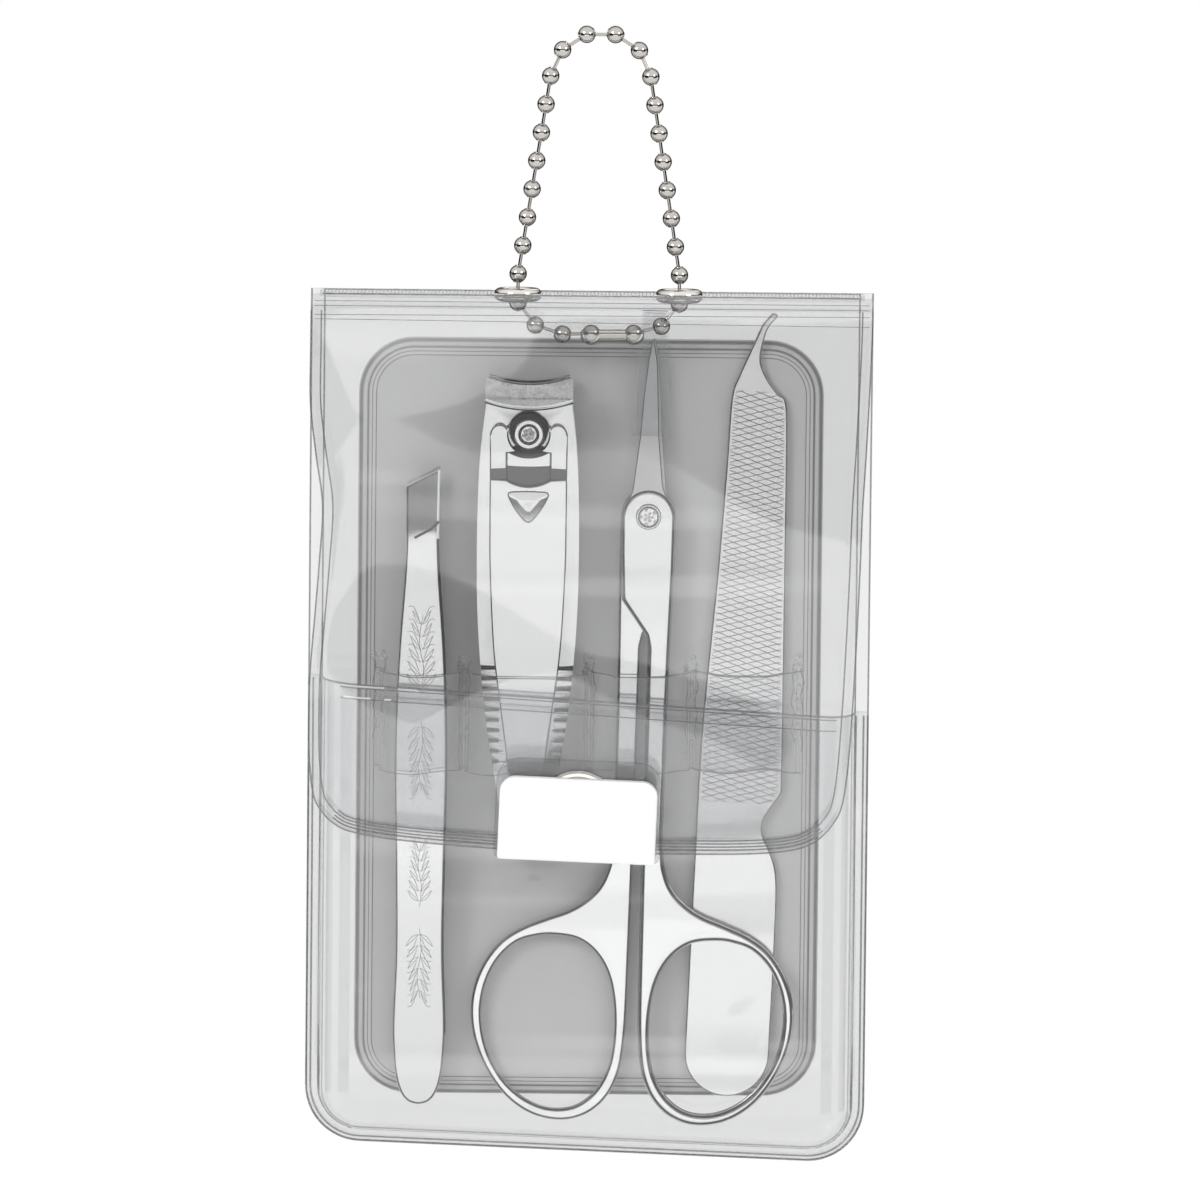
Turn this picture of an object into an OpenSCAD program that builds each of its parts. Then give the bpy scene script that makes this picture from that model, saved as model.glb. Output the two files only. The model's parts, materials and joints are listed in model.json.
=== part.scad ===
/* [Case sheets] */
// Thickness of the clear vinyl sheets
sheet_t = 0.4; // [0.3:0.05:0.5]
// Width of the welded edge
weld_w = 1.6; // [1.2:0.1:2]
// Radius of the case's bottom corners
case_corner_r = 6.5; // [5:0.5:9]
// Free width of case outside the outermost loops
side_margin = 8.2; // [8.2:0.1:12]
// How much lower the right bottom corner hangs than the left one
bottom_drop = 1.8; // [0:0.2:2.4]
// How far the pocket's edges curve inwards
pocket_round = 5; // [4:0.5:5.5]
// Depth of the pocket's mouth below the top
mouth_depth = 46; // [44:1:50]
// How much lower the mouth is on the right than on the left
mouth_slant = 1.9; // [0:0.1:2.4]
// Length of the front flap
flap_len = 63.4; // [62:0.2:68]
// How much each side of the flap narrows towards its bottom
flap_taper = 1.5; // [0.5:0.1:3]
// Radius of the flap's bottom corners
flap_corner_r = 6; // [4:0.5:8]
// Height of the embossed weld beads
bead_h = 0.15; // [0.1:0.05:0.2]

/* [Backing board] */
// Thickness of the backing board
board_t = 1.3; // [1:0.1:2]
// Gap between the board and the case's side edge
board_side_gap = 5.6; // [5:0.1:8]
// Gap between the board and the top gusset
board_top_gap = 5.4; // [4:0.2:8]
// Gap between the board and the case's bottom edge
board_bottom_gap = 6.6; // [6:0.2:9]
// Radius of the board's corners
board_corner_r = 6.3; // [4:0.1:8]

/* [Loop strap] */
// Thickness of the strap
strap_t = 0.3; // [0.2:0.05:0.4]
// Depth of the strap's top edge below the case's top
strap_depth = 43.2; // [40:0.2:44]
// Height of the strap
strap_h = 11.4; // [9:0.2:12]
// Width of each weld between two loops
strap_weld = 0.8; // [0.6:0.1:1]
// Radius of the strap's bends over each tool
strap_bend_r = 0.9; // [0.6:0.1:1.2]
// Side play of the tweezers in their loop
tweezer_slack = 3.7; // [2.6:0.1:5]
// Side play of the clipper in its loop
clipper_slack = 5.1; // [4.4:0.1:6]
// Side play of the scissors in their loop
scissor_slack = 6; // [4.4:0.1:7]
// Side play of the nail file in its loop
file_slack = 2.6; // [2:0.1:4]

/* [Closure] */
// Width of the blank tab
tab_w = 17.9; // [14:0.1:20]
// Height of the blank tab
tab_h = 9.4; // [8:0.1:11]
// Thickness of the blank tab
tab_t = 1; // [0.8:0.1:1.5]
// Tilt of the tab, clockwise from the front
tab_tilt = 2; // [0:0.5:4]
// Diameter of the snap's cap
snap_cap_d = 9.2; // [8:0.1:10]
// Diameter of the snap's stud nub
snap_nub_d = 3.2; // [2.6:0.1:3.6]
// Depth of the snap's centre below the case's top
snap_depth = 58.4; // [57:0.2:60]

/* [Ball chain] */
// Diameter of each ball
ball_d = 2; // [1.8:0.05:2.1]
// Wall of each hollow ball
ball_wall = 0.15; // [0.12:0.01:0.18]
// Diameter of the holes in each ball
ball_hole_d = 0.72; // [0.7:0.01:0.74]
// Distance from ball to ball
ball_pitch = 3.25; // [3.1:0.05:3.4]
// Diameter of each link's wire
link_d = 0.38; // [0.3:0.01:0.4]
// Diameter of each link's head
link_head_d = 0.8; // [0.78:0.01:0.84]
// Balls on each side of the loop
side_balls = 10; // [8:1:12]
// Bend of each link round the crown
crown_bend = 33; // [28:1:36]
// Lean of the two strands
strand_lean = 8.8; // [6:0.2:10]
// Height of the lowest outside ball above the case
ball_rise = 2.2; // [2:0.1:3]
// How far right of the case's middle the loop hangs
chain_offset = 0.7; // [0:0.1:1]
// How far in front of the case's middle the loop hangs
chain_forward = 0.4; // [0.3:0.1:1]

/* [Eyelets] */
// Bore of each eyelet
eyelet_bore = 3; // [2.8:0.1:3.4]
// Outer diameter of each eyelet's rim
eyelet_rim_d = 5.3; // [5:0.1:6]
// Height of the rim above the gusset
eyelet_rim_h = 0.6; // [0.4:0.1:0.8]

/* [Nail clipper] */
// Length of the clipper
clipper_len = 55; // [52:0.5:56]
// Greatest width of the clipper
clipper_w = 11.6; // [10.5:0.1:12]
// Thickness of each arm
arm_t = 1.2; // [1:0.05:1.3]
// Opening between the cutting edges
jaw_gap = 1.6; // [1:0.1:1.8]
// Reach of each jaw from its arm
jaw_reach = 1; // [0.8:0.05:1.2]
// Thickness of the lever
lever_t = 1; // [0.8:0.05:1.1]
// Length of the lever
lever_len = 41; // [38:0.5:42]
// Diameter of the pin
pin_d = 2; // [1.6:0.1:2.2]
// Diameter of the pin's head
pin_head_d = 4.7; // [4.2:0.1:5]
// Distance of the tail rivet from the clipper's tail
rivet_up = 3.4; // [3:0.1:4.2]
// Distance of the pin from the clipper's cutting edge
pin_down = 6.4; // [6:0.1:7]
// Depth of the clipper's top below the case's top
clipper_depth = 9.4; // [9:0.2:12]

/* [Scissors] */
// Thickness of each half
half_t = 1.2; // [1:0.05:1.2]
// Length of the blades from the pivot
blade_len = 20.4; // [19:0.2:20.4]
// Distance from the pivot to the rings' centres
ring_drop = 58.1; // [56:0.1:58.2]
// Half width of a finger ring, outside
ring_half_w = 9.3; // [8.8:0.1:9.4]
// Half height of a finger ring, outside
ring_half_h = 11.5; // [10.8:0.1:11.6]
// Width of the ring's bar
ring_bar = 1.6; // [1.4:0.05:1.8]
// Width of each half's shank
shank_w = 2.4; // [2.2:0.1:2.5]
// Length of the straight shank below the pivot
shank_len = 37; // [35:0.5:38]
// Gap between the two rings
ring_gap = 1.1; // [0.8:0.1:1.6]
// Diameter of the pivot screw
screw_d = 1.6; // [1.4:0.1:2]
// Depth of the pivot below the case's top
pivot_depth = 25.4; // [25.4:0.1:25.8]
// Lean of the scissors, bottom end to the left
scissor_lean = 1.3; // [0:0.1:1.6]
// Wall of the blade guard
guard_wall = 0.25; // [0.2:0.01:0.3]
// Length of the blade guard
guard_len = 14.2; // [13:0.1:14.2]

/* [Tweezers] */
// Length of the tweezers
tweezer_len = 74.6; // [72:0.2:77]
// Greatest width of the tweezers
tweezer_w = 6; // [5.4:0.1:6.4]
// Thickness of each arm
tweezer_arm_t = 0.9; // [0.7:0.05:1]
// Angle between the two arms at rest
tweezer_spread = 3; // [2.9:0.1:3.4]
// Depth of the tweezers' foot below the case's top
tweezer_foot_depth = 93.1; // [92:0.1:94]

/* [Nail file] */
// Length of the file
file_len = 90; // [86:0.5:91]
// Greatest width of the file
file_w = 9.9; // [9:0.1:10.2]
// Thickness of the file
file_t = 0.8; // [0.6:0.05:0.9]
// Depth of the file's tip below the case's top
file_depth = 2.1; // [2:0.1:4]
// Lean of the file, bottom end to the left
file_lean = 2.3; // [0:0.1:2.6]

/* [Fits] */
// Gap between a tool and the board behind it
seat_gap = 0.2; // [0.15:0.05:0.3]
// Gap between soft sheets and what moves beside them
soft_gap = 0.3; // [0.25:0.05:0.4]
// Running gap of pivots
run_gap = 0.05; // [0.03:0.01:0.08]

/* [Hidden] */
$fn = 48;
eps = 0.01;

// Chain: from the crown each link turns further, down the strand, through the eyelet and inwards
upper_balls = floor(side_balls / 2);
left_turns = [38, 72, 92];
right_turns = [38, 75];
function link_angle(turns, k) = k < side_balls ? min(k * crown_bend, 90 - strand_lean)
    : k == side_balls ? 90 : 90 + turns[k - side_balls - 1];
function chain_ball(turns, k) = k == 0 ? [ball_pitch / 2, 0]
    : chain_ball(turns, k - 1) + ball_pitch * [cos(link_angle(turns, k)), -sin(link_angle(turns, k))];
function last_ball(turns) = side_balls + len(turns);
function ball_angle(turns, k) = k == last_ball(turns) ? link_angle(turns, k)
    : (link_angle(turns, k) + link_angle(turns, k + 1)) / 2;
// Distance from a ball's middle to the head seated in its hole
head_seat = sqrt(pow(ball_d / 2 - ball_wall, 2) - pow(ball_hole_d / 2, 2))
    - sqrt(pow(link_head_d / 2 + 0.02, 2) - pow(ball_hole_d / 2, 2));
function head_place(turns, k, side) = chain_ball(turns, k)
    + side * head_seat * [cos(ball_angle(turns, k)), -sin(ball_angle(turns, k))];
eyelet_x = chain_ball(left_turns, side_balls - 1)[0];
lowest_ball_z = chain_ball(left_turns, side_balls - 1)[1];
case_top = lowest_ball_z - ball_rise;
left_end = chain_ball(left_turns, last_ball(left_turns));
right_end = chain_ball(right_turns, last_ball(right_turns));

// Widths of the loops, from left to right, and the places of their welds
tool_w_at_strap = [tweezer_w, clipper_w * 0.79, 2 * 2.85, file_w * 0.96];
loop_slack = [tweezer_slack, clipper_slack, scissor_slack, file_slack];
loop_w = tool_w_at_strap + loop_slack;
strap_w = loop_w[0] + loop_w[1] + loop_w[2] + loop_w[3];
function weld_x(i) = i == 0 ? -strap_w / 2 : weld_x(i - 1) + loop_w[i - 1];
function loop_x(i) = (weld_x(i) + weld_x(i + 1)) / 2;

// Clipper profile, in depth, from the rear arm to the pin's head
lever_gap = 0.15;
pin_head_t = 0.45;
clipper_stack = 2 * arm_t + 2 * jaw_reach + jaw_gap + lever_gap + lever_t + pin_head_t;
arm_spread = atan2(2 * jaw_reach + jaw_gap, clipper_len - 2);
lever_y = -clipper_stack + pin_head_t;
pin_up = clipper_len - pin_down;
tweezer_bow = 0.35;

// Case depth, from the back sheet to the flap
flap_clear = 0.7;
weld_groove = 0.12;
case_depth = 2 * sheet_t + board_t + seat_gap + clipper_stack + flap_clear;
back_y = case_depth / 2;
board_back_y = back_y - sheet_t;
board_y = board_back_y - board_t;
tool_y = board_y - seat_gap;
flap_y = -case_depth / 2;
snap_stack = 1.6;
pocket_y = flap_y + sheet_t + snap_stack;
pocket_in_y = pocket_y + sheet_t;

// Scissors and the case's outline round them
scissor_x = loop_x(2) + 0.7;
ring_x = ring_half_w + ring_gap / 2;
ring_low = ring_drop + ring_half_h;
bottom_clear = 2.2;
case_h = pivot_depth + ring_low + bottom_clear + weld_w;
case_w = strap_w + 2 * side_margin;
mate_y = tool_y - 0.35 - half_t;
file_front_y = tool_y - file_t;

// Snap and tab
snap_x = -1.1;
backing_t = 0.5;
cap_t = 0.8;

function arc(cx, cy, r, a0, a1, n = 8) =
    [for (i = [0:n]) [cx + r * cos(a0 + (a1 - a0) * i / n), cy + r * sin(a0 + (a1 - a0) * i / n)]];

// Smooth line through stations
function catmull(p0, p1, p2, p3, t) = 0.5 * (2 * p1 + (p2 - p0) * t
    + (2 * p0 - 5 * p1 + 4 * p2 - p3) * t * t + (3 * p1 - p0 - 3 * p2 + p3) * t * t * t);
function smooth(s, n = 4) = concat(
    [for (i = [0:len(s) - 2]) for (j = [0:n - 1])
        catmull(s[max(i - 1, 0)], s[i], s[i + 1], s[min(i + 2, len(s) - 1)], j / n)],
    [s[len(s) - 1]]);
function flip_x(s) = [for (i = [len(s) - 1:-1:0]) [-s[i][0], s[i][1]]];
// Closed outline from the stations of its right side, [half width, height]
function both_sides(s, n = 4) = concat(smooth(s, n), flip_x(smooth(s, n)));

// Case outline, square at the top and round at the bottom, drawn in by inset
function case_outline(inset, top_inset = 0) =
    let (w = case_w / 2 - inset, r = max(case_corner_r - inset, 2),
        slope = bottom_drop / (case_w - 2 * case_corner_r), low = case_h - inset)
    concat([[w, -top_inset], [-w, -top_inset]],
        arc(-w + r, -low + r + slope * (w - r), r, 180, 270),
        arc(w - r, -low + r - slope * (w - r), r, 270, 360));

// Things drawn in the case's frame hang from its top
module in_case() translate([-chain_offset, chain_forward, case_top]) children();
module plate(y0, y1) translate([0, y1, 0]) rotate([90, 0, 0]) linear_extrude(y1 - y0) children();
module rod_y(r, y0, y1) translate([0, y1, 0]) rotate([90, 0, 0]) cylinder(r = r, h = y1 - y0);
module side_profile(x0, x1) translate([x0, 0, 0]) rotate([90, 0, 90]) linear_extrude(x1 - x0) children();

// Chain
module link_between(a, b) translate([a[0], 0, a[1]])
    rotate([0, atan2(b[0] - a[0], b[1] - a[1]), 0]) {
        cylinder(d = link_d, h = norm(b - a), $fn = 24);
        sphere(d = link_head_d, $fn = 24);
        translate([0, 0, norm(b - a)]) sphere(d = link_head_d, $fn = 24);
    }
module chain_links(turns, k0, k1) for (k = [k0:k1])
    link_between(head_place(turns, k - 1, 1), head_place(turns, k, -1));
// Hollow balls, each pierced along the middle way between its two links
module chain_balls(turns, k0, k1) for (k = [k0:k1]) let (p = chain_ball(turns, k))
    translate([p[0], 0, p[1]]) rotate([0, 90 + ball_angle(turns, k), 0]) difference() {
        sphere(d = ball_d, $fn = 32);
        sphere(d = ball_d - 2 * ball_wall, $fn = 32);
        cylinder(d = ball_hole_d, h = 2 * ball_d, center = true, $fn = 24);
    }
module mirrored_x() {
    children();
    mirror([1, 0, 0]) children();
}
module chain_upper_balls() color("silver") mirrored_x() chain_balls(left_turns, 0, upper_balls - 1);
module chain_upper_links() color("silver") {
    crown_head = head_place(left_turns, 0, -1);
    link_between([-crown_head[0], crown_head[1]], crown_head);
    mirrored_x() chain_links(left_turns, 1, upper_balls - 1);
}
module chain_lower_balls() color("silver") mirrored_x()
    chain_balls(left_turns, upper_balls, side_balls - 1);
module chain_lower_links() color("silver") mirrored_x()
    chain_links(left_turns, upper_balls, side_balls - 1);
module chain_inner_balls() color("silver") {
    mirror([1, 0, 0]) chain_balls(left_turns, side_balls, last_ball(left_turns));
    chain_balls(right_turns, side_balls, last_ball(right_turns));
}
module chain_inner_links() color("silver") {
    mirror([1, 0, 0]) chain_links(left_turns, side_balls, last_ball(left_turns));
    chain_links(right_turns, side_balls, last_ball(right_turns));
}
connector_wall = 0.25;
connector_gap = 0.06;
// Open sheet channel with a cup round each end ball and a narrow waist between
module chain_connector() color("silver") {
    inner_r = ball_d / 2 + connector_gap;
    outer_r = inner_r + connector_wall;
    left = [-left_end[0], left_end[1]];
    span = right_end[0] - left[0];
    waist_r = inner_r * 0.62;
    translate([left[0], 0, left[1]]) rotate([0, -atan2(right_end[1] - left[1], span), 0])
        difference() {
            union() {
                sphere(r = outer_r, $fn = 40);
                translate([span, 0, 0]) sphere(r = outer_r, $fn = 40);
                rotate([0, 90, 0]) cylinder(r = waist_r + connector_wall, h = span, $fn = 40);
            }
            sphere(r = inner_r, $fn = 40);
            translate([span, 0, 0]) sphere(r = inner_r, $fn = 40);
            rotate([0, 90, 0]) cylinder(r = waist_r, h = span, $fn = 40);
            translate([-outer_r - 1, -outer_r - 1, inner_r * 0.35])
                cube([span + 2 * outer_r + 2, 2 * outer_r + 2, outer_r]);
            rotate([0, -90, 0]) cylinder(r = inner_r * 0.55, h = outer_r + 1, $fn = 24);
            translate([span, 0, 0]) rotate([0, 90, 0]) cylinder(r = inner_r * 0.55, h = outer_r + 1, $fn = 24);
        }
}

// Eyelets
hole_r = eyelet_bore / 2 + 0.25;
module eyelet() translate([0, 0, case_top]) rotate_extrude() {
    translate([eyelet_bore / 2, -sheet_t - 0.5]) square([0.25, sheet_t + 0.5 + eyelet_rim_h / 2]);
    translate([(eyelet_bore + eyelet_rim_d) / 4, 0]) intersection() {
        scale([(eyelet_rim_d - eyelet_bore) / 4, eyelet_rim_h]) circle(r = 1, $fn = 32);
        translate([-2, 0]) square([4, 2]);
    }
}
module eyelet_left() color("silver") translate([-eyelet_x, 0, 0]) eyelet();
module eyelet_right() color("silver") translate([eyelet_x, 0, 0]) eyelet();
module eyelet_washers() color("silver") mirrored_x() translate([eyelet_x, 0, case_top])
    rotate_extrude() translate([0, -sheet_t]) polygon([
        [hole_r + 0.02, 0], [hole_r + 0.02, -0.35], [hole_r + 0.4, -0.5],
        [eyelet_rim_d / 2 - 0.3, -0.4], [eyelet_rim_d / 2, -0.15], [eyelet_rim_d / 2, 0]]);

// Case
module back_sheet() color("gainsboro") in_case() difference() {
    plate(board_back_y, back_y) polygon(case_outline(0));
    for (inset = [0.5, weld_w]) plate(back_y - weld_groove, back_y + 1) difference() {
        polygon(case_outline(inset, 0.6));
        polygon(case_outline(inset + 0.35, 0.95));
    }
}
module top_gusset() color("gainsboro") in_case() difference() {
    half = case_w / 2 - 1.2;
    front = flap_y + sheet_t + run_gap;
    corner = 2.5;
    translate([0, 0, -sheet_t]) linear_extrude(sheet_t) polygon(concat(
        [[half, board_back_y], [-half, board_back_y]],
        arc(-half + corner, front + corner, corner, 180, 270),
        arc(half - corner, front + corner, corner, 270, 360)));
    mirrored_eyelets() cylinder(r = hole_r, h = 3, center = true);
}
module mirrored_eyelets() for (s = [-1, 1])
    translate([chain_offset + s * eyelet_x, -chain_forward, 0]) children();
function board_outline(inset) =
    let (w = case_w / 2 - board_side_gap - inset, r = max(board_corner_r - inset, 1),
        top = -board_top_gap - inset, low = -case_h + board_bottom_gap + inset)
    concat(arc(w - r, top - r, r, 0, 90), arc(-w + r, top - r, r, 90, 180),
        arc(-w + r, low + r, r, 180, 270), arc(w - r, low + r, r, 270, 360));
module backing_board() color("gray") in_case() {
    plate(board_y, board_back_y) polygon(board_outline(0));
    plate(board_y - bead_h, board_y + eps) difference() {
        polygon(board_outline(1.4));
        polygon(board_outline(2));
        translate([-case_w / 2, -strap_depth - strap_h - soft_gap])
            square([case_w, strap_h + 2 * soft_gap]);
    }
}
// Rounded shell between the weld and the front, as wide at each depth as a quarter ellipse
module pocket_form(skin, past) {
    depth = board_back_y - pocket_y - skin;
    hull() for (t = [0, 22, 42, 60, 76, 90])
        translate([0, board_back_y - depth * sin(t) + (t == 0 ? past : eps), 0]) rotate([90, 0, 0])
            linear_extrude(eps) polygon(case_outline(weld_w + skin + pocket_round * (1 - cos(t)), 30));
}
module front_pocket() color("gainsboro") in_case() difference() {
    union() {
        plate(board_back_y - sheet_t, board_back_y) polygon(case_outline(0));
        pocket_form(0, 0);
    }
    pocket_form(sheet_t, 2 * eps);
    translate([0, back_y, 0]) rotate([90, 0, 0]) linear_extrude(2 * case_depth, center = true) polygon([
        [-case_w, 10], [case_w, 10],
        [case_w, -mouth_depth - mouth_slant], [-case_w, -mouth_depth + mouth_slant]]);
    translate([snap_x, 0, -snap_depth]) rod_y(1.2, flap_y, 0);
}
// Strap over one loop, seen from above, with a round bend at each side
function loop_points(i, front, skin) =
    let (half = loop_w[i] / 2 - strap_weld / 2 - skin, x = loop_x(i),
        r = strap_bend_r - skin, y = front + skin + r)
    concat([[x - half, board_y]], arc(x - half + r, y, r, 180, 270, 5),
        arc(x + half - r, y, r, 270, 360, 5), [[x + half, board_y]]);
loop_front = [
    tool_y - 2 * tweezer_arm_t - 2 * run_gap - 2 * tweezer_bow
        - tan(tweezer_spread) * (tweezer_foot_depth - strap_depth) - soft_gap - strap_t,
    tool_y + lever_y + sin(arm_spread) * (strap_depth - clipper_depth - clipper_len + pin_up)
        - soft_gap - strap_t,
    mate_y - run_gap - half_t - soft_gap - strap_t,
    file_front_y - soft_gap - strap_t
];
module loop_strap() color("whitesmoke") in_case()
    translate([0, 0, -strap_depth - strap_h]) linear_extrude(strap_h) difference() {
        union() {
            translate([weld_x(0) - strap_weld / 2, board_y - strap_t])
                square([strap_w + strap_weld, strap_t]);
            for (i = [0:3]) polygon(loop_points(i, loop_front[i], 0));
        }
        for (i = [0:3]) translate([0, eps]) polygon(loop_points(i, loop_front[i], strap_t));
    }

// Snap and closure, centred on the snap
module at_snap() in_case() translate([snap_x, 0, -snap_depth]) children();
stud_flange_t = 0.45;
module snap_stud() color("silver") at_snap() difference() {
    union() {
        rod_y(3.2, pocket_y - stud_flange_t, pocket_y);
        rod_y(snap_nub_d / 2, flap_y + sheet_t + 0.1, pocket_y);
    }
    rod_y(0.75, flap_y, pocket_y + 1);
}
module snap_post() color("silver") at_snap() {
    rod_y(3.2, pocket_in_y, pocket_in_y + 0.4);
    rod_y(0.7, flap_y + sheet_t + 0.25, pocket_in_y + eps);
}
module snap_socket() color("silver") at_snap() {
    socket_y0 = flap_y + sheet_t;
    socket_y1 = pocket_y - stud_flange_t - run_gap;
    difference() {
        rod_y(3.9, socket_y0, socket_y1);
        rod_y(snap_nub_d / 2 + 0.15, socket_y0 - 1, socket_y1 + 1);
    }
}
module snap_cap() color("silver") at_snap() difference() {
    union() {
        translate([0, flap_y - backing_t, 0]) rotate([90, 0, 0]) rotate_extrude() polygon([
            [0, 0], [snap_cap_d / 2, 0], [snap_cap_d / 2, cap_t * 0.5], [snap_cap_d / 2 - 0.3, cap_t],
            [0, cap_t]]);
        rod_y(1.1, flap_y - backing_t - eps, flap_y + sheet_t);
    }
    translate([0, flap_y - backing_t - cap_t, 0]) rotate([90, 0, 0])
        rotate_extrude() translate([snap_cap_d / 2 - 0.9, 0]) circle(r = 0.25, $fn = 16);
}
function tab_outline(w, h, top_r, low_r) = concat(
    arc(w / 2 - top_r, h / 2 - top_r, top_r, 0, 90), arc(-w / 2 + top_r, h / 2 - top_r, top_r, 90, 180),
    arc(-w / 2 + low_r, -h / 2 + low_r, low_r, 180, 270), arc(w / 2 - low_r, -h / 2 + low_r, low_r, 270, 360));
tab_low = -1;
module tab_backing() color("dimgray") at_snap() difference() {
    translate([0, 0, tab_low + 1.2]) rotate([0, tab_tilt, 0]) plate(flap_y - backing_t, flap_y)
        polygon(tab_outline(tab_w + 0.7, tab_h + 1.6, 2.5, 0.6));
    rod_y(1.2, flap_y - 2, flap_y + 1);
}
// Tray with a blank face, notched where the cap stands above it
module closure_tab() color("white") at_snap() difference() {
    face_y = flap_y - backing_t - cap_t - run_gap - tab_t;
    translate([0, 0, tab_low]) rotate([0, tab_tilt, 0]) difference() {
        plate(face_y, flap_y - backing_t) polygon(tab_outline(tab_w, tab_h, 1.7, 0.4));
        plate(face_y + tab_t, flap_y) polygon(tab_outline(tab_w - 1.6, tab_h - 1.6, 1, 0.3));
    }
    rod_y(snap_cap_d / 2 + 0.1, flap_y - backing_t - cap_t - run_gap, flap_y);
}
// Flap, round along its fold so that it turns beside the gusset
flap_half = case_w / 2 - 0.2;
function flap_outline(inset) =
    let (top = flap_half - inset, low = flap_half - flap_taper - inset, r = max(flap_corner_r - inset, 1),
        h = flap_len - inset - 0.9, sag = 0.9)
    concat([[top, -sheet_t / 2 - inset], [-top, -sheet_t / 2 - inset],
            [-low - flap_taper * 0.25, -h * 0.3], [-low, -h * 0.55]],
        arc(-low + r, -h + r, r, 180, 266),
        [for (u = [-0.5, 0, 0.5]) [u * low, -h - sag * (1 - u * u)]],
        arc(low - r, -h + r, r, 274, 360),
        [[low, -h * 0.55], [low + flap_taper * 0.25, -h * 0.3]]);
module flap() color("gainsboro") in_case() difference() {
    union() {
        plate(flap_y, flap_y + sheet_t) polygon(flap_outline(0));
        translate([-flap_half, flap_y + sheet_t / 2, -sheet_t / 2]) rotate([0, 90, 0])
            cylinder(d = sheet_t, h = 2 * flap_half, $fn = 24);
        plate(flap_y - bead_h, flap_y + eps) difference() {
            polygon(flap_outline(1));
            polygon(flap_outline(1.4));
            translate([snap_x, -snap_depth + tab_low]) square([tab_w + 2, tab_h + 6], center = true);
        }
    }
    translate([snap_x, 0, -snap_depth]) rod_y(1.2, flap_y - 1, flap_y + 1);
}

// Tweezers: two sprung arms that meet at the foot
tweezer_x = loop_x(0);
foot_axis_y = tool_y - tweezer_bow - tweezer_arm_t - run_gap;
foot_axis_z = -tweezer_foot_depth;
// One arm, standing on its foot, inner face on the plane y = 0 and bowed towards +y
module tweezer_arm() {
    tip_in = 0.6;
    tip_len = 9;
    knee = tweezer_len - tip_len;
    function lean_y(s) = s > knee ? -tip_in * (s - knee) / tip_len : tweezer_bow * sin(180 * s / knee);
    steps = [for (i = [0:12]) knee * i / 12];
    heights = concat(steps, [tweezer_len]);
    intersection() {
        side_profile(-tweezer_w, tweezer_w) polygon(concat(
            [for (s = heights) [lean_y(s), s]],
            [for (i = [len(heights) - 1:-1:0]) [lean_y(heights[i]) + tweezer_arm_t, heights[i]]]));
        plate(-tweezer_w, tweezer_w) intersection() {
            polygon(concat(
                smooth([for (s = tweezer_side) [s[0] * tweezer_w, s[1]]], 3),
                flip_x(smooth([for (s = tweezer_side) [s[0] * tweezer_w, s[1]]], 3))));
            polygon([[-tip_len, -1], [tip_len, -1], [tip_len, tweezer_len + 0.25 * tip_len],
                [-tip_len, tweezer_len - 0.78 * tip_len]]);
        }
    }
}
tweezer_side = [[0.03, 0], [0.2, 0.35], [0.34, 1.4], [0.44, 3.4], [0.49, 6.5], [0.5, 10], [0.455, 18],
    [0.47, 28], [0.5, 40], [0.45, 51], [0.325, 62], [0.31, 68], [0.34, 80]];
module at_tweezers() in_case() translate([tweezer_x, foot_axis_y, foot_axis_z]) children();
module tweezer_rear_arm() color("silver") at_tweezers() {
    translate([0, run_gap, 0]) tweezer_arm();
}
module tweezer_front_arm() color("silver") at_tweezers()
    rotate([tweezer_spread, 0, 0]) translate([0, -run_gap, 0]) mirror([0, 1, 0]) tweezer_arm();

// Nail clipper
clipper_x = loop_x(1);
// Half widths from the tail to the jaws
clipper_side = [[0.03, 0], [0.13, 0.3], [0.2, 1.6], [0.25, 5], [0.32, 10], [0.39, 15], [0.44, 20],
    [0.485, 27], [0.5, 33.5], [0.495, 41], [0.47, 47], [0.42, 52], [0.385, 56]];
module clipper_outline() difference() {
    polygon(both_sides([for (s = clipper_side) [s[0] * clipper_w, s[1] * clipper_len / 55]], 3));
    translate([-clipper_w, clipper_len]) square([2 * clipper_w, clipper_len]);
    translate([0, clipper_len + 13.8]) circle(r = 14.5, $fn = 96);
}
module at_clipper() in_case() translate([clipper_x, tool_y, -clipper_depth - clipper_len]) children();
// Arm with its back on y = 0 and its jaw turned towards -y
module clipper_arm(hole_r, rivet_r) difference() {
    intersection() {
        side_profile(-clipper_w, clipper_w) polygon([
            [0, 0.2], [0, clipper_len - 2.2], [-0.5, clipper_len - 0.8], [-1.1, clipper_len],
            [-arm_t - jaw_reach + 0.25, clipper_len], [-arm_t - jaw_reach, clipper_len - 0.15],
            [-arm_t - jaw_reach, clipper_len - 0.5], [-arm_t - 0.2, clipper_len - 2.2],
            [-arm_t, clipper_len - 3], [-arm_t, 0], [-0.2, 0]]);
        plate(-2 * arm_t - jaw_reach, arm_t) clipper_outline();
    }
    translate([0, 0, pin_up]) rod_y(hole_r, -2 * arm_t - jaw_reach, arm_t);
    translate([0, 0, rivet_up]) rod_y(rivet_r, -2 * arm_t - jaw_reach, arm_t);
}
groove_pitch = 1.2;
module clipper_rear_arm() color("silver") at_clipper() clipper_arm(pin_d / 2 + 0.03, 0.83);
module clipper_front_arm() color("silver") at_clipper()
    translate([0, -arm_t - run_gap, 0]) rotate([arm_spread, 0, 0]) difference() {
        translate([0, -arm_t, 0]) mirror([0, 1, 0]) clipper_arm(pin_d / 2 + 0.45, 1.05);
        for (i = [0:9]) for (s = [-1, 1]) translate([s * clipper_w * 0.42, -arm_t, 11 + i * groove_pitch])
            rotate([0, 90, 0]) cylinder(r = 0.22, h = clipper_w * 0.3, center = true, $fn = 24);
    }
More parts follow.
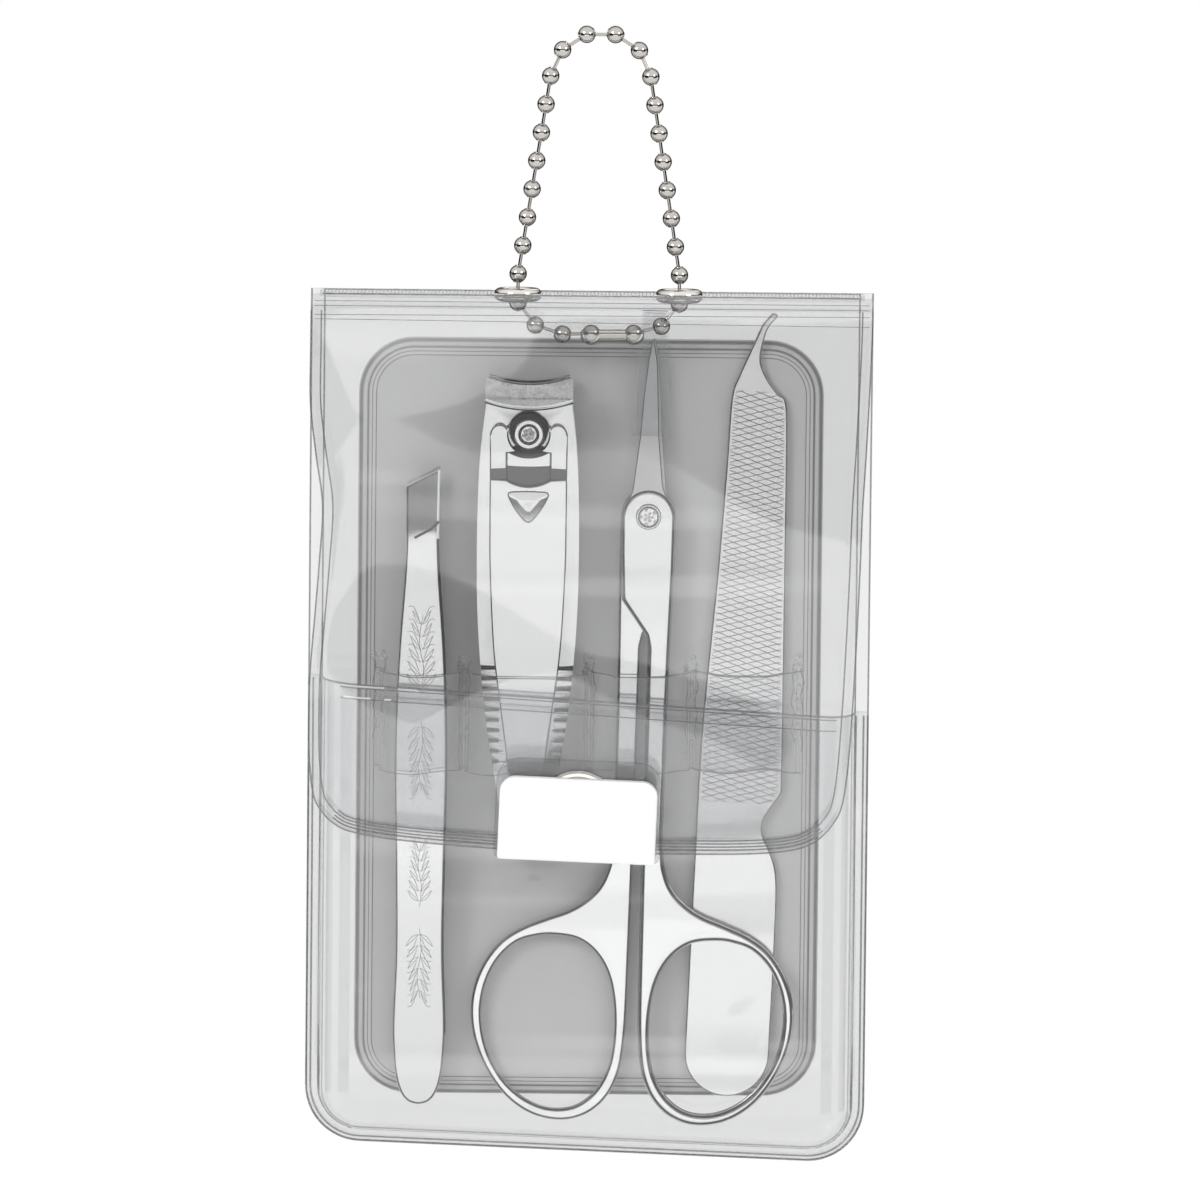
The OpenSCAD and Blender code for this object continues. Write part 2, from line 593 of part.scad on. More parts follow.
module clipper_rivet() color("silver") at_clipper() translate([0, 0, rivet_up]) {
    rod_y(0.8, -2 * arm_t - 0.75, -eps);
    translate([0, -2 * arm_t - 0.55, 0]) rotate([90, 0, 0]) rotate_extrude()
        polygon([[0, 0], [1.5, 0], [1.35, 0.3], [0.9, 0.5], [0, 0.55]]);
}
module clipper_pin() color("silver") at_clipper() translate([0, 0, pin_up]) {
    rod_y(pin_d / 2, lever_y + lever_t + 0.15, -eps);
    rod_y(pin_neck_d / 2, lever_y - 0.1 - eps, lever_y + lever_t + 0.2);
    difference() {
        rod_y(pin_head_d / 2, lever_y - pin_head_t, lever_y - 0.1);
        translate([0, lever_y - pin_head_t, 0]) rotate([90, 0, 0]) rotate_extrude()
            translate([pin_head_d / 2 - 0.7, 0]) circle(r = 0.16, $fn = 16);
    }
}
lever_side = [[0.12, 0], [0.19, 0.5], [0.24, 1.6], [0.27, 4], [0.33, 8], [0.43, 15], [0.485, 24],
    [0.5, 31], [0.485, 36], [0.43, 39.6], [0.36, 40.8], [0.2, 41]];
lever_w = 8.9;
lever_over_pin = 1.1;
pin_neck_d = pin_d - 0.5;
lever_slot = pin_neck_d + 0.3;
// Lever, drawn from the pin down, lying along the front arm
module clipper_lever() color("silver") at_clipper() translate([0, lever_y + lever_t, pin_up])
    rotate([arm_spread, 0, 0]) translate([0, 0, lever_over_pin - lever_len]) difference() {
        plate(-lever_t, 0)
            polygon(both_sides([for (s = lever_side) [s[0] * lever_w, s[1] * lever_len / 41]], 3));
        translate([0, 0, lever_len - lever_over_pin]) rod_y(lever_slot / 2, -2 * lever_t, lever_t);
        translate([-lever_slot / 2, -2 * lever_t, lever_len - lever_over_pin])
            cube([lever_slot, 3 * lever_t, 2 * lever_over_pin]);
        plate(-2 * lever_t, lever_t) polygon([[-2.3, lever_len - 6.6], [2.3, lever_len - 6.6],
            [2.1, lever_len - 4], [-2.1, lever_len - 4]]);
        plate(-2 * lever_t, -lever_t + 0.35) polygon([[-2.2, lever_len - 8.6], [2.2, lever_len - 8.6],
            [0, lever_len - 11.8]]);
    }

// Scissors, drawn about the pivot; the halves are twins turned about the long axis
module at_pivot() in_case() translate([scissor_x, mate_y, -pivot_depth])
    rotate([0, scissor_lean, 0]) children();
blade_w = [
    [0.12, blade_len], [0.6, blade_len - 2.6], [1, blade_len - 7], [1.25, blade_len - 11.2],
    [1.7, 3.45], [2.25, 2.95], [2.75, 2.1], [3.08, 1.1], [3.15, 0], [2.95, -5], [2.75, -9.6], [0.15, -14]
];
// Egg-shaped bow: stations of its outside and of its hole, as shares of their half sizes
bow_out = [[1, 0.17], [0.99, -0.25], [0.93, -0.52], [0.76, -0.77], [0.5, -0.94], [0.2, -1], [-0.16, -0.96],
    [-0.5, -0.82], [-0.75, -0.6], [-0.92, -0.3], [-0.98, 0.02], [-0.93, 0.3], [-0.78, 0.56], [-0.53, 0.77],
    [-0.25, 0.93], [0.06, 1.02], [0.4, 1], [0.72, 0.85], [0.93, 0.55]];
bow_in = [[0.98, 0.17], [0.99, -0.29], [0.89, -0.58], [0.67, -0.86], [0.43, -0.98], [0.16, -1.03], [-0.2, -1],
    [-0.59, -0.81], [-0.85, -0.52], [-0.97, -0.21], [-1, 0.11], [-0.89, 0.42], [-0.68, 0.68], [-0.38, 0.88],
    [-0.15, 0.96], [0.1, 0.98], [0.42, 0.94], [0.68, 0.78], [0.89, 0.5]];
function smooth_ring(s, n) = [for (i = [0:len(s) - 1]) for (j = [0:n - 1])
    catmull(s[(i + len(s) - 1) % len(s)], s[i], s[(i + 1) % len(s)], s[(i + 2) % len(s)], j / n)];
function bow_line(s, w, h) = [for (p = smooth_ring(s, 4)) [p[0] * w - ring_x, p[1] * h - ring_drop]];
bow_outer = bow_line(bow_out, ring_half_w, ring_half_h);
bow_hole = bow_line(bow_in, ring_half_w - ring_bar, ring_half_h - ring_bar);
// Section of the bow's flat bar with its tumbled corners: share of the width from the hole, and depth
bar_edge = 0.22;
bar_section = [[0, 1.4 * bar_edge], [bar_edge, 0], [1 - bar_edge, 0], [1, 1.4 * bar_edge],
    [1, half_t - 1.8 * bar_edge], [1 - 0.4 * bar_edge, half_t - 0.6 * bar_edge], [1 - 1.4 * bar_edge, half_t],
    [1.4 * bar_edge, half_t], [0.4 * bar_edge, half_t - 0.6 * bar_edge], [0, half_t - 1.8 * bar_edge]];
bow_steps = len(bow_outer);
bow_sides = len(bar_section);
function bow_point(i, j) = let (p = bow_hole[i] + (bow_outer[i] - bow_hole[i]) * bar_section[j][0])
    [p[0], bar_section[j][1], p[1]];
function bow_index(i, j) = (i % bow_steps) * bow_sides + j % bow_sides;
module finger_ring() polyhedron(
    points = [for (i = [0:bow_steps - 1]) for (j = [0:bow_sides - 1]) bow_point(i, j)],
    faces = [for (i = [0:bow_steps - 1]) for (j = [0:bow_sides - 1]) for (side = [0, 1])
        side == 0 ? [bow_index(i, j), bow_index(i, j + 1), bow_index(i + 1, j + 1)]
            : [bow_index(i, j), bow_index(i + 1, j + 1), bow_index(i + 1, j)]]);
// Fan that widens the shank into the bow, down to the middle of the bow's bar
shank_in = 0.45;
shank_out = shank_in + shank_w;
function fan_outline() = concat(
    [[-shank_in, -shank_len + 1], [-shank_in - 0.05, -shank_len - 8]],
    [for (i = [73:-2:60]) (bow_outer[i] + bow_hole[i]) / 2],
    smooth([bow_outer[60], bow_outer[60] + [3, 1.35], bow_outer[60] + [4.9, 3.2], bow_outer[60] + [6.1, 5.6],
        [-shank_out - 0.02, -shank_len - 1.2], [-shank_out, -shank_len + 1]], 4));
// Rear half: blade right of the pivot, ring on the left, flat face on y = 0
module scissor_blank(pivot_r) difference() {
    union() {
        intersection() {
            plate(0, half_t) polygon(concat(blade_w, [[-shank_in, -21], [-shank_in, -shank_len],
                [-shank_out, -shank_len], [-shank_out, -21], [-3.1, -9.6], [-3.15, 0], [-3.08, 1.1],
                [-2.75, 2.1], [-2.25, 2.95], [-1.5, 3.55], [-0.9, blade_len - 11.2], [-0.5, blade_len - 3]]));
            side_profile(-2 * ring_x, 2 * ring_x) polygon([[0, blade_len + 1], [0.4, blade_len + 1],
                [0.8, blade_len - 11.2], [half_t, 4], [half_t, -60], [0, -60]]);
        }
        plate(0.05, half_t - 0.05) polygon(fan_outline());
        finger_ring();
    }
    rod_y(pivot_r, -half_t, 2 * half_t);
}
module scissor_rear_half() color("silver") at_pivot() translate([0, run_gap, 0])
    scissor_blank(screw_d / 2 + 0.01);
module scissor_front_half() color("gainsboro") at_pivot() rotate([0, 0, 180]) translate([0, run_gap, 0])
    scissor_blank(screw_d / 2 + run_gap);
module scissor_screw() color("silver") at_pivot() {
    face = -run_gap - half_t;
    rod_y(screw_d / 2, face - eps, run_gap + half_t + 0.15);
    difference() {
        translate([0, face - run_gap, 0]) rotate([90, 0, 0]) rotate_extrude()
            polygon([[0, -run_gap], [screw_d / 2, -run_gap], [screw_d / 2, 0], [1.45, 0], [1.4, 0.3],
                [1.1, 0.5], [0, 0.55]]);
        for (a = [0, 90]) translate([0, face - run_gap - 0.5, 0]) rotate([0, a, 0])
            cube([2.2, 0.5, 0.3], center = true);
    }
}
// Clear sleeve over the blades, closed at its top
guard_low = blade_len + 3 - guard_len;
module guard_form(skin, low, top) intersection() {
    plate(-5, 5) polygon([[-2.1 + skin, low], [2.1 - skin, low], [2.05 - skin, guard_low + 5.8],
        [1.45 - skin, top], [-1.45 + skin, top], [-2.05 + skin, guard_low + 5.8]]);
    side_profile(-5, 5) polygon([[-1.3 + skin, guard_low - 2], [1.3 - skin, guard_low - 2],
        [0.85 - skin, top], [-0.85 + skin, top]]);
}
module blade_guard() color("whitesmoke") at_pivot() difference() {
    guard_form(0, guard_low, guard_low + guard_len);
    guard_form(guard_wall, guard_low - 1, guard_low + guard_len - guard_wall);
}

// Nail file with a hooked cleaning tip and a notched handle
file_x = loop_x(3) + 0.6;
module nail_file() color("silver") in_case()
    translate([file_x, 0, -file_depth - 30]) rotate([0, file_lean, 0]) translate([0, 0, 30])
        plate(file_front_y, tool_y) intersection() {
            polygon(concat(
                smooth([[0.9, 0], [1.5, -0.4], [0.4, -2], [-0.2, -5.2], [0.6, -7.4], [2, -9.2], [2.9, -10],
                    [3.3, -14], [3.9, -30], [file_w * 0.46, -48], [file_w * 0.48, -54.8]], 4),
                smooth([[file_w * 0.3, -57.6], [file_w * 0.28, -59.5], [file_w * 0.46, -64],
                    [file_w * 0.49, -72], [file_w * 0.49, -82]], 4),
                arc(0, -file_len + file_w * 0.49, file_w * 0.49, 0, -180, 16),
                smooth([[-file_w * 0.49, -82], [-file_w * 0.49, -64], [-file_w * 0.48, -48], [-3.9, -30],
                    [-3.5, -18], [-3.3, -10], [-2.6, -7.4], [-1.4, -4.4], [-0.2, -1.4]], 4)));
            translate([-20, -file_len]) square([40, file_len]);
        }

chain_upper_balls();
chain_upper_links();
chain_lower_balls();
chain_lower_links();
back_sheet();
top_gusset();
backing_board();
front_pocket();
loop_strap();
eyelet_left();
eyelet_right();
eyelet_washers();
chain_inner_balls();
chain_inner_links();
chain_connector();
snap_stud();
snap_post();
flap();
tab_backing();
closure_tab();
snap_cap();
snap_socket();
tweezer_rear_arm();
tweezer_front_arm();
clipper_rear_arm();
clipper_front_arm();
clipper_lever();
clipper_pin();
clipper_rivet();
scissor_rear_half();
scissor_front_half();
scissor_screw();
blade_guard();
nail_file();
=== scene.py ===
import json
import math
import random

import bmesh
import bpy
import numpy as np
from mathutils import Matrix, Vector
from mathutils.geometry import tessellate_polygon


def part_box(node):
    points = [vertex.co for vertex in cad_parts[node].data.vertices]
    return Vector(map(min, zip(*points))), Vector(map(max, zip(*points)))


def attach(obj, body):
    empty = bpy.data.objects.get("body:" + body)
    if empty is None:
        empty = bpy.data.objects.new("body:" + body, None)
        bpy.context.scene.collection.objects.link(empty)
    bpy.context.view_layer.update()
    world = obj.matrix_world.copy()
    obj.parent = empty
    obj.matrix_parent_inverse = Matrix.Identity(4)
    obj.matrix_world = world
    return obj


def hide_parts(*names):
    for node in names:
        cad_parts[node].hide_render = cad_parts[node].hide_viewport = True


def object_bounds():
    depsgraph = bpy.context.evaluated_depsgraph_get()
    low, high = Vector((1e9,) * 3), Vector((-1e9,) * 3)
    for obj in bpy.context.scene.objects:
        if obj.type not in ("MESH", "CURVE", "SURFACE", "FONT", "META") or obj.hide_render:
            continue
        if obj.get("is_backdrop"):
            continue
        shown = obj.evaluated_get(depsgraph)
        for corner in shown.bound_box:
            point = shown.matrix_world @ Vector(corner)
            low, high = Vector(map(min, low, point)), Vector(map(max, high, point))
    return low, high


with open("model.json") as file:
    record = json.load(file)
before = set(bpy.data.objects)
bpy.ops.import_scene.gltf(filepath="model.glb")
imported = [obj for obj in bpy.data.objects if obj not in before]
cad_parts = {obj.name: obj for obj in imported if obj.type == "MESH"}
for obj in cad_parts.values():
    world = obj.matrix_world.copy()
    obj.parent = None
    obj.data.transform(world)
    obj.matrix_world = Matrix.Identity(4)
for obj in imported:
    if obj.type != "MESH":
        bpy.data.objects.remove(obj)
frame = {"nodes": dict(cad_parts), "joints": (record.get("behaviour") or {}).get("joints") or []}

bl_info = {
    "name": "Manicure Set Case",
    "version": (1, 0, 0),
    "blender": (4, 5, 0),
    "location": "View3D > Sidebar > Manicure Case",
    "description": "Dresses the packed manicure case: clear vinyl, ball chain, polished tools and closure tab",
    "category": "Object",
}

MM = 0.001

# ---------------------------------------------------------------- places taken from the frame
BACK_LO, BACK_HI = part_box("back_sheet")
CENTRE_X = (BACK_LO.x + BACK_HI.x) / 2 / MM
TOP_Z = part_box("top_gusset")[1].z / MM
BACK_Y = BACK_HI.y / MM
BOARD_BACK_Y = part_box("backing_board")[1].y / MM
TOOL_BACK_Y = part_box("nail_file")[1].y / MM
BOARD_Y = TOOL_BACK_Y + 0.2
POCKET_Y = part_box("front_pocket")[0].y / MM
FLAP_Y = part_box("flap")[0].y / MM + 0.15
CASE_HALF = (BACK_HI.x - BACK_LO.x) / 2 / MM
CASE_LOW = BACK_LO.z / MM - TOP_Z
STRAP_LO, STRAP_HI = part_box("loop_strap")
JOINTS = {j["name"]: j for j in frame["joints"]}


def case_point(x, y, z):
    """Millimetres from the middle of the case's top edge, with y as in the frame, to metres in the frame."""
    return Vector(((x + CENTRE_X) * MM, y * MM, (z + TOP_Z) * MM))


# ---------------------------------------------------------------- sizes and colours a user would change
class CaseSizes(bpy.types.PropertyGroup):
    """Sizes of the vinyl case, in metres"""
    sheet: bpy.props.FloatProperty(name="Sheet thickness", description="Thickness of the clear vinyl", default=0.0004,
                                   unit="LENGTH", precision=5)
    strap: bpy.props.FloatProperty(name="Strap thickness", description="Thickness of the loop strap", default=0.0003,
                                   unit="LENGTH", precision=5)
    weld: bpy.props.FloatProperty(name="Weld width", description="Width of the welded edge", default=0.0016,
                                  unit="LENGTH", precision=5)
    bead: bpy.props.FloatProperty(name="Bead height", description="Height of the pressed weld beads", default=0.00015,
                                  unit="LENGTH", precision=5)
    wave: bpy.props.FloatProperty(name="Flap wave", description="How far the flap bows out and in", default=0.00055,
                                  unit="LENGTH", precision=5)


class ToolSizes(bpy.types.PropertyGroup):
    """Sizes of edges and cuts on the tools, in metres"""
    edge: bpy.props.FloatProperty(name="Rounded edge", description="Radius of the polished edges", default=0.0005,
                                  unit="LENGTH", precision=5)
    cut_pitch: bpy.props.FloatProperty(name="File cut pitch", description="Distance between the file's cuts",
                                       default=0.00072, unit="LENGTH", precision=5)
    cut_height: bpy.props.FloatProperty(name="File cut height", description="Height of the ridges between cuts",
                                        default=0.000075, unit="LENGTH", precision=6)
    engraving: bpy.props.FloatProperty(name="Engraved line", description="Width of the engraved sprig's lines",
                                       default=0.00011, unit="LENGTH", precision=6)


class ChainSizes(bpy.types.PropertyGroup):
    """Sizes of the ball chain, in metres"""
    ball: bpy.props.FloatProperty(name="Ball diameter", description="Diameter of each ball", default=0.002,
                                  unit="LENGTH", precision=5)
    pitch: bpy.props.FloatProperty(name="Ball pitch", description="Distance from ball to ball", default=0.00325,
                                   unit="LENGTH", precision=5)
    wire: bpy.props.FloatProperty(name="Link wire", description="Diameter of each link's wire", default=0.00038,
                                  unit="LENGTH", precision=5)


class CaseColours(bpy.types.PropertyGroup):
    """Colours of the finishes"""
    board: bpy.props.FloatVectorProperty(name="Board", description="Grey of the backing board", subtype="COLOR",
                                         default=(0.485, 0.485, 0.485), min=0, max=1)
    steel: bpy.props.FloatVectorProperty(name="Steel", description="Polished steel of the tools", subtype="COLOR",
                                         default=(0.93, 0.93, 0.928), min=0, max=1)
    nickel: bpy.props.FloatVectorProperty(name="Nickel", description="Plating of chain, snap and eyelets",
                                          subtype="COLOR", default=(0.8, 0.77, 0.73), min=0, max=1)
    vinyl: bpy.props.FloatVectorProperty(name="Vinyl", description="Light that one face of the vinyl lets through",
                                         subtype="COLOR", default=(0.905, 0.906, 0.908), min=0, max=1)
    tab: bpy.props.FloatVectorProperty(name="Tab", description="White of the closure tab", subtype="COLOR",
                                       default=(0.9, 0.9, 0.9), min=0, max=1)


# ---------------------------------------------------------------- outlines, in millimetres
def catmull(points, n=6, closed=False):
    """Smooth line through the points."""
    p = np.asarray(points, float)
    count = len(p)
    out = []
    spans = count if closed else count - 1
    for i in range(spans):
        if closed:
            a, b, c, d = (p[(i + k) % count] for k in (-1, 0, 1, 2))
        else:
            a, b, c, d = p[max(i - 1, 0)], p[i], p[i + 1], p[min(i + 2, count - 1)]
        for j in range(n):
            t = j / n
            out.append(0.5 * (2 * b + (c - a) * t + (2 * a - 5 * b + 4 * c - d) * t * t
                              + (3 * b - a - 3 * c + d) * t ** 3))
    if not closed:
        out.append(p[-1])
    return np.array(out)


def arc(cx, cz, r, a0, a1, n=10):
    """Points of an arc, angles in degrees."""
    t = np.radians(np.linspace(a0, a1, n + 1))
    return np.stack([cx + r * np.cos(t), cz + r * np.sin(t)], 1)


def area(loop):
    """Signed area of a closed outline."""
    x, z = loop[:, 0], loop[:, 1]
    return 0.5 * float(np.sum(x * np.roll(z, -1) - np.roll(x, -1) * z))


def tidy_loop(loop, turn, gap=0.02):
    """The outline without doubled points, running the asked way round."""
    loop = np.asarray(loop, float)
    keep = [loop[0]]
    for p in loop[1:]:
        if np.hypot(*(p - keep[-1])) > gap:
            keep.append(p)
    if np.hypot(*(keep[0] - keep[-1])) <= gap:
        keep.pop()
    loop = np.array(keep)
    return loop if area(loop) * turn > 0 else loop[::-1]


def filleted(loop, r, n=4, least=18):
    """The outline with its corners rounded."""
    loop = np.asarray(loop, float)
    out = []
    for i, p in enumerate(loop):
        a, b = loop[i - 1] - p, loop[(i + 1) % len(loop)] - p
        la, lb = np.hypot(*a), np.hypot(*b)
        a, b = a / la, b / lb
        turn = math.pi - math.acos(max(-1.0, min(1.0, float(a @ b))))
        if math.degrees(turn) < least:
            out.append(p)
            continue
        cut = min(r * math.tan(turn / 2), la * 0.45, lb * 0.45)
        for j in range(n + 1):
            t = j / n
            out.append((1 - t) ** 2 * (p + a * cut) + 2 * t * (1 - t) * p + t * t * (p + b * cut))
    return np.array(out)


def outward(loop):
    """Unit normals at the points of an outline that runs anticlockwise, and their mitre lengths."""
    d = np.roll(loop, -1, 0) - loop
    d /= np.hypot(d[:, 0], d[:, 1])[:, None]
    n = np.stack([d[:, 1], -d[:, 0]], 1)
    m = n + np.roll(n, 1, 0)
    m /= np.maximum(np.hypot(m[:, 0], m[:, 1]), 1e-6)[:, None]
    return m, 1 / np.maximum(np.sum(m * n, 1), 0.5)


def resampled(line, n):
    """n points evenly along a line."""
    line = np.asarray(line, float)
    s = np.concatenate([[0], np.cumsum(np.hypot(*np.diff(line, axis=0).T))])
    t = np.linspace(0, s[-1], n)
    return np.stack([np.interp(t, s, line[:, 0]), np.interp(t, s, line[:, 1])], 1)


def edge_distance(points, outline):
    """Distance from each point to a line of segments, all in millimetres."""
    best = np.full(len(points), 1e9)
    for a, b in zip(outline[:-1], outline[1:]):
        ab = b - a
        t = np.clip(((points - a) @ ab) / max(float(ab @ ab), 1e-9), 0, 1)
        best = np.minimum(best, np.hypot(*(points - a - t[:, None] * ab).T))
    return best


def smoothstep(x, lo, hi):
    """Smooth rise from 0 at lo to 1 at hi."""
    t = np.clip((x - lo) / (hi - lo), 0, 1)
    return t * t * (3 - 2 * t)


# ---------------------------------------------------------------- mesh making
def make_object(name, verts, faces, material, normals=None, sharp=None):
    """A mesh object at the origin with smooth faces, from vertices in metres."""
    mesh = bpy.data.meshes.new(name)
    mesh.from_pydata([tuple(v) for v in verts], [], [tuple(int(i) for i in f) for f in faces])
    mesh.validate()
    mesh.update()
    mesh.shade_smooth()
    if normals is not None:
        mesh.normals_split_custom_set_from_vertices([tuple(n) for n in normals])
    elif sharp is not None:
        mesh.set_sharp_from_angle(angle=math.radians(sharp))
    mesh.materials.append(material)
    obj = bpy.data.objects.new(name, mesh)
    bpy.context.scene.collection.objects.link(obj)
    return obj


def joined(name, parts, material):
    """One object of several (verts, faces, normals) parts."""
    verts, faces, normals, start = [], [], [], 0
    for v, f, n in parts:
        verts.append(v)
        normals.append(n)
        faces.extend([tuple(i + start for i in face) for face in f])
        start += len(v)
    normals = np.concatenate(normals)
    obj = make_object(name, np.concatenate(verts), faces, material, normals)
    mark_rims(obj.data, normals)
    return obj


def mark_rims(mesh, normals):
    """Stores where a flat piece's edges turn: two lines along each rounded edge, as an attribute called rim, on which
    finishes paint dark lines of shade.
    """
    turn = np.degrees(np.arccos(np.clip(np.abs(normals[:, 1]), 0, 1)))
    rim = smoothstep(turn, 9, 17) * (1 - smoothstep(turn, 46, 54))
    rim += smoothstep(turn, 62, 72) * (1 - 0.7 * smoothstep(turn, 80, 88))
    mesh.attributes.new("rim", "FLOAT", "POINT").data.foreach_set("value", rim)


def plate_part(outline, y_front, y_back, front_r, back_r, holes=(), steps=4, place=None, bend=None, dish=None):
    """A flat plate with rounded rims, as (verts, faces, normals) in metres.

    outline and holes are in millimetres, place is a 4x4 matrix in millimetres and bend(x, z) moves points along y."""
    loops = [tidy_loop(outline, 1)] + [tidy_loop(h, 1) for h in holes]
    verts, normals, faces, caps = [], [], [], {"front": [], "back": []}
    for k, loop in enumerate(loops):
        n2, mitre = outward(loop)
        side = 1 if k == 0 else -1
        rings = []
        profile = [(front_r * (1 - math.sin(a)), y_front + front_r * (1 - math.cos(a)), a, -1)
                   for a in np.linspace(0, math.pi / 2, steps + 1)]
        profile += [(back_r * (1 - math.sin(a)), y_back - back_r * (1 - math.cos(a)), a, 1)
                    for a in np.linspace(math.pi / 2, 0, steps + 1)]
        for inset, y, a, way in profile:
            p = loop - side * n2 * (inset * mitre)[:, None]
            first = sum(len(v) for v in verts)
            verts.append(np.stack([p[:, 0], np.full(len(p), y), p[:, 1]], 1))
            normals.append(np.stack([side * n2[:, 0] * math.sin(a), np.full(len(p), way * math.cos(a)),
                                     side * n2[:, 1] * math.sin(a)], 1))
            rings.append(np.arange(first, first + len(p)))
        for r0, r1 in zip(rings[:-1], rings[1:]):
            for i in range(len(r0)):
                j = (i + 1) % len(r0)
                quad = (r0[i], r0[j], r1[j], r1[i])
                faces.append(quad[::-1] if side > 0 else quad)
        caps["front"].append(rings[0])
        caps["back"].append(rings[-1])
    v = np.concatenate(verts)
    n = np.concatenate(normals)
    for which, rings in caps.items():
        flat = [[Vector((v[i, 0], v[i, 2], 0)) for i in ring] for ring in rings]
        index = np.concatenate(rings)
        for tri in tessellate_polygon(flat):
            a, b, c = (int(index[t]) for t in tri)
            u, w = v[b] - v[a], v[c] - v[a]
            up = np.cross(u, w)[1]
            if abs(up) < 1e-9:
                continue
            faces.append((a, b, c) if (up < 0) == (which == "front") else (a, c, b))
    if dish is not None:
        v, n = dish(v, n)
    if bend is not None:
        h = 0.01
        y0 = bend(v[:, 0], v[:, 2])
        gx = (bend(v[:, 0] + h, v[:, 2]) - y0) / h
        gz = (bend(v[:, 0], v[:, 2] + h) - y0) / h
        v = v + np.stack([np.zeros(len(v)), y0, np.zeros(len(v))], 1)
        n = np.stack([n[:, 0] - n[:, 1] * gx, n[:, 1], n[:, 2] - n[:, 1] * gz], 1)
        n /= np.linalg.norm(n, axis=1)[:, None]
    return moved(v, n, faces, place)


def moved(v, n, faces, place):
    """(verts, faces, normals) in metres after a placing matrix in millimetres."""
    m = np.array(place if place is not None else Matrix.Identity(4))
    v = v @ m[:3, :3].T + m[:3, 3]
    n = n @ m[:3, :3].T
    return v * MM, faces, n


def at_case(x, y, z):
    """Matrix in millimetres that puts a local origin at a case point, with y as in the frame."""
    return Matrix.Translation(Vector((x + CENTRE_X, y, z + TOP_Z)))


def sheet_part(front, back):
    """Closed shell from two grids (rows, columns, 3) of points in metres, front towards -y."""
    rows, cols = front.shape[:2]
    v = np.concatenate([front.reshape(-1, 3), back.reshape(-1, 3)])
    n = rows * cols
    faces = []
    for i in range(rows - 1):
        for j in range(cols - 1):
            a, b, c, d = i * cols + j, i * cols + j + 1, (i + 1) * cols + j + 1, (i + 1) * cols + j
            faces.append((a, d, c, b))
            faces.append((n + a, n + b, n + c, n + d))
    rim = ([j for j in range(cols)] + [i * cols + cols - 1 for i in range(1, rows)]
           + [(rows - 1) * cols + j for j in range(cols - 2, -1, -1)] + [i * cols for i in range(rows - 2, 0, -1)])
    for a, b in zip(rim, rim[1:] + rim[:1]):
        faces.append((a, b, n + b, n + a))
    return v, faces


def coons(top, right, bottom, left, rows, cols):
    """Grid of points inside four edge lines: top and bottom run left to right, left and right run down."""
    t, b = resampled(top, cols), resampled(bottom, cols)
    lft, rgt = resampled(left, rows), resampled(right, rows)
    u = np.linspace(0, 1, cols)[None, :, None]
    w = np.linspace(0, 1, rows)[:, None, None]
    ruled = (1 - w) * t[None] + w * b[None] + (1 - u) * lft[:, None] + u * rgt[:, None]
    corners = ((1 - u) * (1 - w) * t[0] + u * (1 - w) * t[-1] + (1 - u) * w * b[0] + u * w * b[-1])
    return ruled - corners


def sheet_object(name, grid, y_front, thickness, material):
    """A sheet over a grid of case points (x, z in mm): y_front is an array in the frame's mm, thickness in mm."""
    rows, cols = grid.shape[:2]
    x, z = grid[..., 0] + CENTRE_X, grid[..., 1] + TOP_Z
    front = np.stack([x, y_front, z], -1) * MM
    back = np.stack([x, y_front + thickness, z], -1) * MM
    v, f = sheet_part(front, back)
    return make_object(name, v, f, material, sharp=50)


# ---------------------------------------------------------------- material making
class Nodes:
    """Short hand for adding and linking nodes."""

    def __init__(self, tree):
        self.tree = tree

    def add(self, kind, values=None, **attributes):
        node = self.tree.nodes.new(kind)
        for k, v in attributes.items():
            setattr(node, k, v)
        for k, v in (values or {}).items():
            node.inputs[k].default_value = v
        return node

    def link(self, a, b):
        self.tree.links.new(a, b)


def new_group(name, kind, inputs, outputs):
    """An empty node group with named sockets and its group nodes."""
    tree = bpy.data.node_groups.new(name, kind)
    for socket_name, socket_kind, default in inputs:
        s = tree.interface.new_socket(socket_name, in_out="INPUT", socket_type=socket_kind)
        if default is not None:
            s.default_value = default
    for socket_name, socket_kind in outputs:
        tree.interface.new_socket(socket_name, in_out="OUTPUT", socket_type=socket_kind)
    n = Nodes(tree)
    return tree, n, n.add("NodeGroupInput"), n.add("NodeGroupOutput")


def grain_group():
    """Fine speckle and soft cloudiness, as a mask around 0.5 and a height."""
    tree, n, gin, gout = new_group(
        "Fine grain", "ShaderNodeTree",
        [("Grain Scale", "NodeSocketFloat", 4000.0), ("Cloud Scale", "NodeSocketFloat", 90.0),
         ("Cloud Share", "NodeSocketFloat", 0.5)],
        [("Mask", "NodeSocketFloat"), ("Height", "NodeSocketFloat")])
    where = n.add("ShaderNodeTexCoord")
    grain = n.add("ShaderNodeTexNoise", {"Detail": 2.0, "Roughness": 0.6})
    cloud = n.add("ShaderNodeTexNoise", {"Detail": 3.0, "Roughness": 0.5})
    mix = n.add("ShaderNodeMix", data_type="FLOAT")
    for tex, scale in ((grain, "Grain Scale"), (cloud, "Cloud Scale")):
        n.link(where.outputs["Object"], tex.inputs["Vector"])
        n.link(gin.outputs[scale], tex.inputs["Scale"])
    n.link(gin.outputs["Cloud Share"], mix.inputs[0])
    n.link(grain.outputs["Fac"], mix.inputs[2])
    n.link(cloud.outputs["Fac"], mix.inputs[3])
    n.link(mix.outputs[0], gout.inputs["Mask"])
    n.link(grain.outputs["Fac"], gout.inputs["Height"])
    return tree


